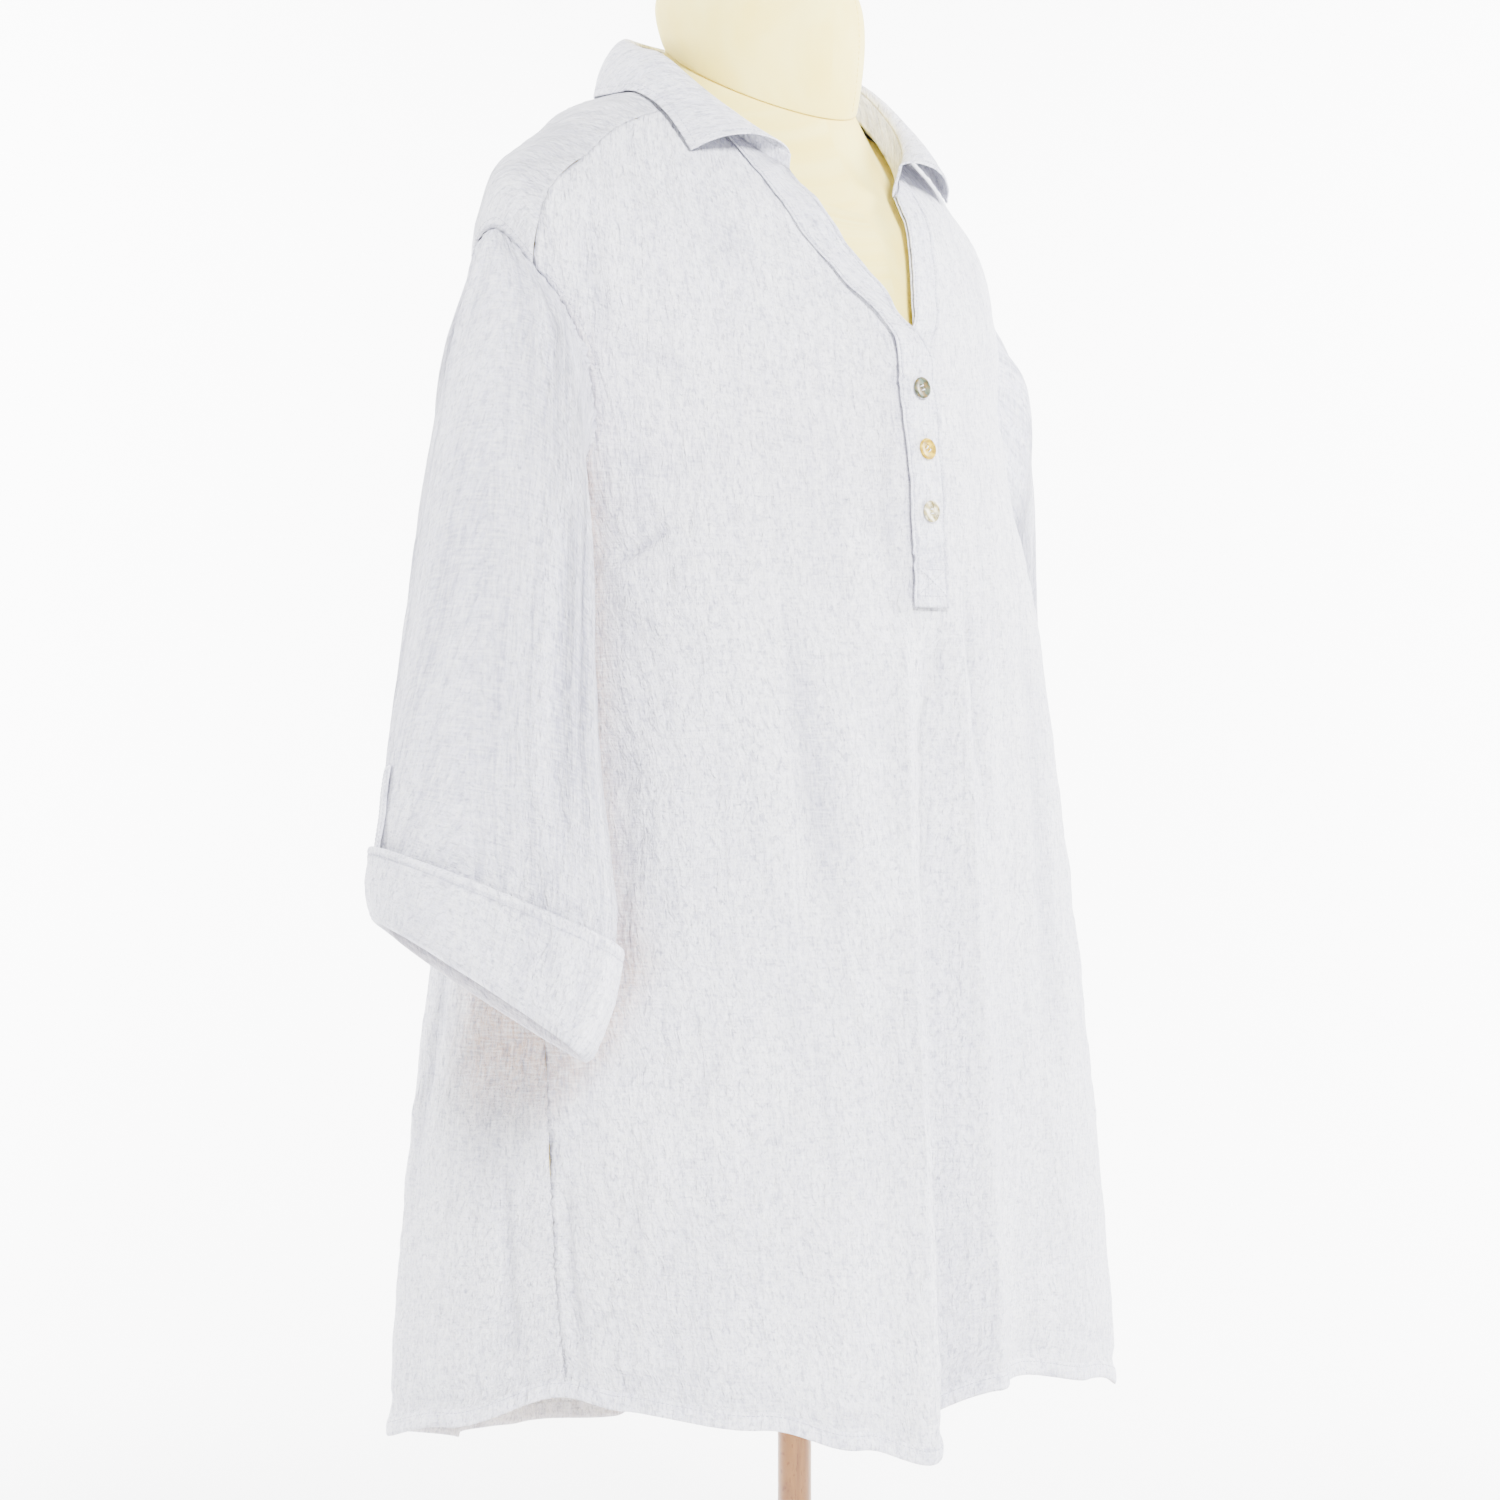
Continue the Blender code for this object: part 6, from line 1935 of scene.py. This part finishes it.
FORM_NECK_BASE = [
    FormNeckRing(60.5, 8.0, 10.0, 28.0),
    FormNeckRing(57.5, 2.0, 3.0, 9.0),
    FormNeckRing(56.5, 0.0, 0.0, 0.0),
]
NeckRing = namedtuple("NeckRing", "radius share")
NECK = [
    NeckRing(57.0, 0.0),
    NeckRing(58.6, 0.03),
    NeckRing(61.8, 0.30),
    NeckRing(63.0, 0.55),
    NeckRing(61.5, 0.76),
    NeckRing(57.0, 0.89),
    NeckRing(49.0, 0.97),
    NeckRing(40.0, 1.0),
]
form_angle = 360 * np.arange(FORM_COLUMNS) / FORM_COLUMNS


def form_ring(row):
    s, c = np.sin(np.radians(form_angle)), np.cos(np.radians(form_angle))
    depth = np.where(c > 0, row.front + row.middle, row.back - row.middle)
    return placed(row.half_width * s, row.middle - depth * c, np.full(len(s), float(row.height)))


def form_upper_ring(row):
    c = np.cos(np.radians(form_angle))
    end = np.where(c > 0, row.front_gap, row.back_gap)
    gap = row.side_gap + (end - row.side_gap) * np.abs(c) ** 0.8
    return body_out(form_angle, np.full(FORM_COLUMNS, row.level), -(CLOTH + gap))


def neck_base_height(angle):
    return 402 - 30 * np.cos(np.radians(angle))


def neck_ring(radius, height, angle=None):
    angle = form_angle if angle is None else angle
    s, c = np.sin(np.radians(angle)), np.cos(np.radians(angle))
    return placed(radius * s, -radius * c, height)


def torso_rings():
    places = np.linspace(0, len(FORM_LOWER) - 1, 36)
    rings = [form_ring(table_at(FORM_LOWER, place)) for place in places]
    fine = np.concatenate([np.linspace(6, 12, 40), np.linspace(12.1, 12.97, 8)])
    keys = [row.level for row in FORM_UPPER]
    for level in fine:
        gaps = [np.interp(level, keys, [getattr(row, field) for row in FORM_UPPER])
                for field in ("front_gap", "side_gap", "back_gap")]
        rings.append(form_upper_ring(FormLevel(level, *gaps)))
    for row in FORM_NECK_BASE:
        c = np.cos(np.radians(form_angle))
        end = np.where(c > 0, row.front_drop, row.back_drop)
        drop = row.side_drop + (end - row.side_drop) * c * c
        rings.append(neck_ring(row.radius, neck_base_height(form_angle) - drop))
    return np.array(rings)


def jersey_piece(name, rings):
    """A closed body through rings, with a texture map in metres and its ends filled."""
    rings = np.concatenate([rings, rings[:, :1]], axis=1)
    uv = flat_lengths(rings)
    rows, columns = rings.shape[:2]
    faces = grid_faces(rows, columns)
    faces += [tuple(reversed(range(columns - 1))),
              tuple(range((rows - 1) * columns, rows * columns - 1))]
    item = make_object(name, rings, faces, JERSEY, uv)
    return dress(join_ends(item), "cream jersey", name)


def neck_heights(share, angle=None):
    low = neck_base_height(form_angle if angle is None else angle) + 0.3
    return low + (FORM_NECK_TOP - low) * share


neck_rows = [table_at(NECK, place) for place in np.linspace(0, len(NECK) - 1, 50)]
neck_rings = np.array([neck_ring(float(row.radius), neck_heights(float(row.share)))
                       for row in neck_rows])
torso_cover = jersey_piece("form_torso", torso_rings())
neck_cover = jersey_piece("form_neck", neck_rings)
print("form", len(torso_cover.data.vertices), len(neck_cover.data.vertices))

# %% [markdown]
# The neck's ring seam is overcast by small stitches, and two upright seams show on the neck.

# %% Form seams
NECK_SEAM_ANGLES = (26.0, -154.0)
seam_lines = []
around = np.linspace(0, 360, 240)
ring_points = neck_ring(57.3, neck_heights(0.016, around), around)
ring_out = unit(neck_ring(1.0, np.zeros(240), around) - placed(0.0, 0.0, 0.0))
seam_lines.append((ring_points, ring_out))
for angle in NECK_SEAM_ANGLES:
    share = np.linspace(0.04, 0.9, 60)
    radius = np.interp(share, [row.share for row in neck_rows], [row.radius for row in neck_rows])
    turn = np.full(60, angle)
    seam_lines.append((neck_ring(radius + 0.1, neck_heights(share, turn), turn),
                       unit(neck_ring(1.0, np.zeros(60), turn) - placed(0.0, 0.0, 0.0))))
form_seams = stitches("form_stitching", seam_lines, pitch=3.4, length=2.4, radius=0.26)
form_seams.data.materials.clear()
form_seams.data.materials.append(JERSEY)

# %% [markdown]
# The pole and the round base are turned beech. Each is a profile spun round the pole's axis, as
# the wood is on a lathe.

# %% Stand
BASE_PROFILE = [(0.0, 0.0), (146.0, 0.0), (147.5, 0.6), (149.5, 1.8), (150.0, 3.0), (150.0, 8.0),
                (149.6, 9.6), (148.4, 11.0), (146.0, 12.0), (144.5, 12.0), (24.0, 12.0),
                (22.4, 12.3), (21.9, 13.2), (21.2, 23.6), (20.3, 25.2), (18.0, 26.0), (0.0, 26.0)]
POLE_PROFILE = [(0.0, 26.3), (10.0, 26.3), (10.0, 319.7), (0.0, 319.7)]


def beech_piece(name, profile, sides):
    profile = [(max(radius, 0.05), height) for radius, height in profile]
    item = turned(f"{name}_wood", profile, sides, BEECH)
    bevel_edges = item.modifiers.new("soft edges", "BEVEL")
    bevel_edges.width = 0.4 * MM
    bevel_edges.segments = 2
    bevel_edges.limit_method = "ANGLE"
    return dress(item, "turned beech", name)


beech_piece("form_base", BASE_PROFILE, 128)
beech_piece("form_pole", POLE_PROFILE, 64)

# %% [markdown]
# The blouse stands in front of a white seamless sheet, in light as soft and level as in the
# photograph.

# %% Stage
def white_sheet():
    material, tree, shader = new_material("white paper")
    shader.inputs["Base Color"].default_value = (0.92, 0.92, 0.92, 1)
    shader.inputs["Roughness"].default_value = 0.95
    shader.inputs["Specular IOR Level"].default_value = 0.0
    tone = add(tree, "ShaderNodeTexNoise", {"Vector": scaled_place(tree, 400.0, 400.0, 400.0,
                                                                   "Object")}, Scale=1.0)
    bumped(tree, shader, [(tone.outputs["Fac"], 0.02, 0.1)])
    return material


SWEEP_RADIUS = 1.2
SWEEP_BACK = 2.6
turns = np.linspace(0, np.pi / 2, 17)
depth = np.concatenate([[-10.0, 0.0], SWEEP_BACK - SWEEP_RADIUS + SWEEP_RADIUS * np.sin(turns),
                        [SWEEP_BACK]])
rise = np.concatenate([[0.0, 0.0], SWEEP_RADIUS - SWEEP_RADIUS * np.cos(turns), [4.5]])
width = np.array([-9.0, 9.0])
sheet_points = (np.array(away)[None, None] * depth[:, None, None]
                + np.array(across)[None, None] * width[None, :, None]
                + np.array([0, 0, 1.0])[None, None] * rise[:, None, None])
floor = make_object("paper_sweep", sheet_points, grid_faces(len(depth), 2, flip=True),
                    white_sheet())

# %% Lights
ROOM_LIGHT = 0.66        # the even light of the room, under the lamps
world = bpy.data.worlds.new("soft room")
world.use_nodes = True
world.node_tree.nodes["Background"].inputs["Color"].default_value = (1.0, 1.0, 1.0, 1)
world.node_tree.nodes["Background"].inputs["Strength"].default_value = ROOM_LIGHT
bpy.context.scene.world = world


def soft_light(name, to_right, towards, height, width_m, watts, aim_depth=0.0):
    lamp = bpy.data.lights.new(name, "AREA")
    lamp.shape = "RECTANGLE"
    lamp.size = width_m
    lamp.size_y = width_m
    lamp.energy = watts
    item = bpy.data.objects.new(name, lamp)
    item.location = across * to_right - away * towards + Vector((0, 0, height))
    aim = away * aim_depth + Vector((0, 0, 0.6)) - item.location
    item.rotation_euler = aim.to_track_quat("-Z", "Y").to_euler()
    bpy.context.scene.collection.objects.link(item)


soft_light("key", 1.0, 2.5, 2.1, 0.8, 350)
soft_light("fill", -2.2, 1.6, 1.5, 1.4, 45)
soft_light("paper, left", -1.9, -0.9, 1.4, 1.0, 370, aim_depth=2.6)
soft_light("paper, right", 1.9, -0.9, 1.4, 1.0, 370, aim_depth=2.6)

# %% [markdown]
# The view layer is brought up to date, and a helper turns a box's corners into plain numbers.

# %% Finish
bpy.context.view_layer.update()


def plain(box):
    return [[float(value) for value in corner] for corner in box]
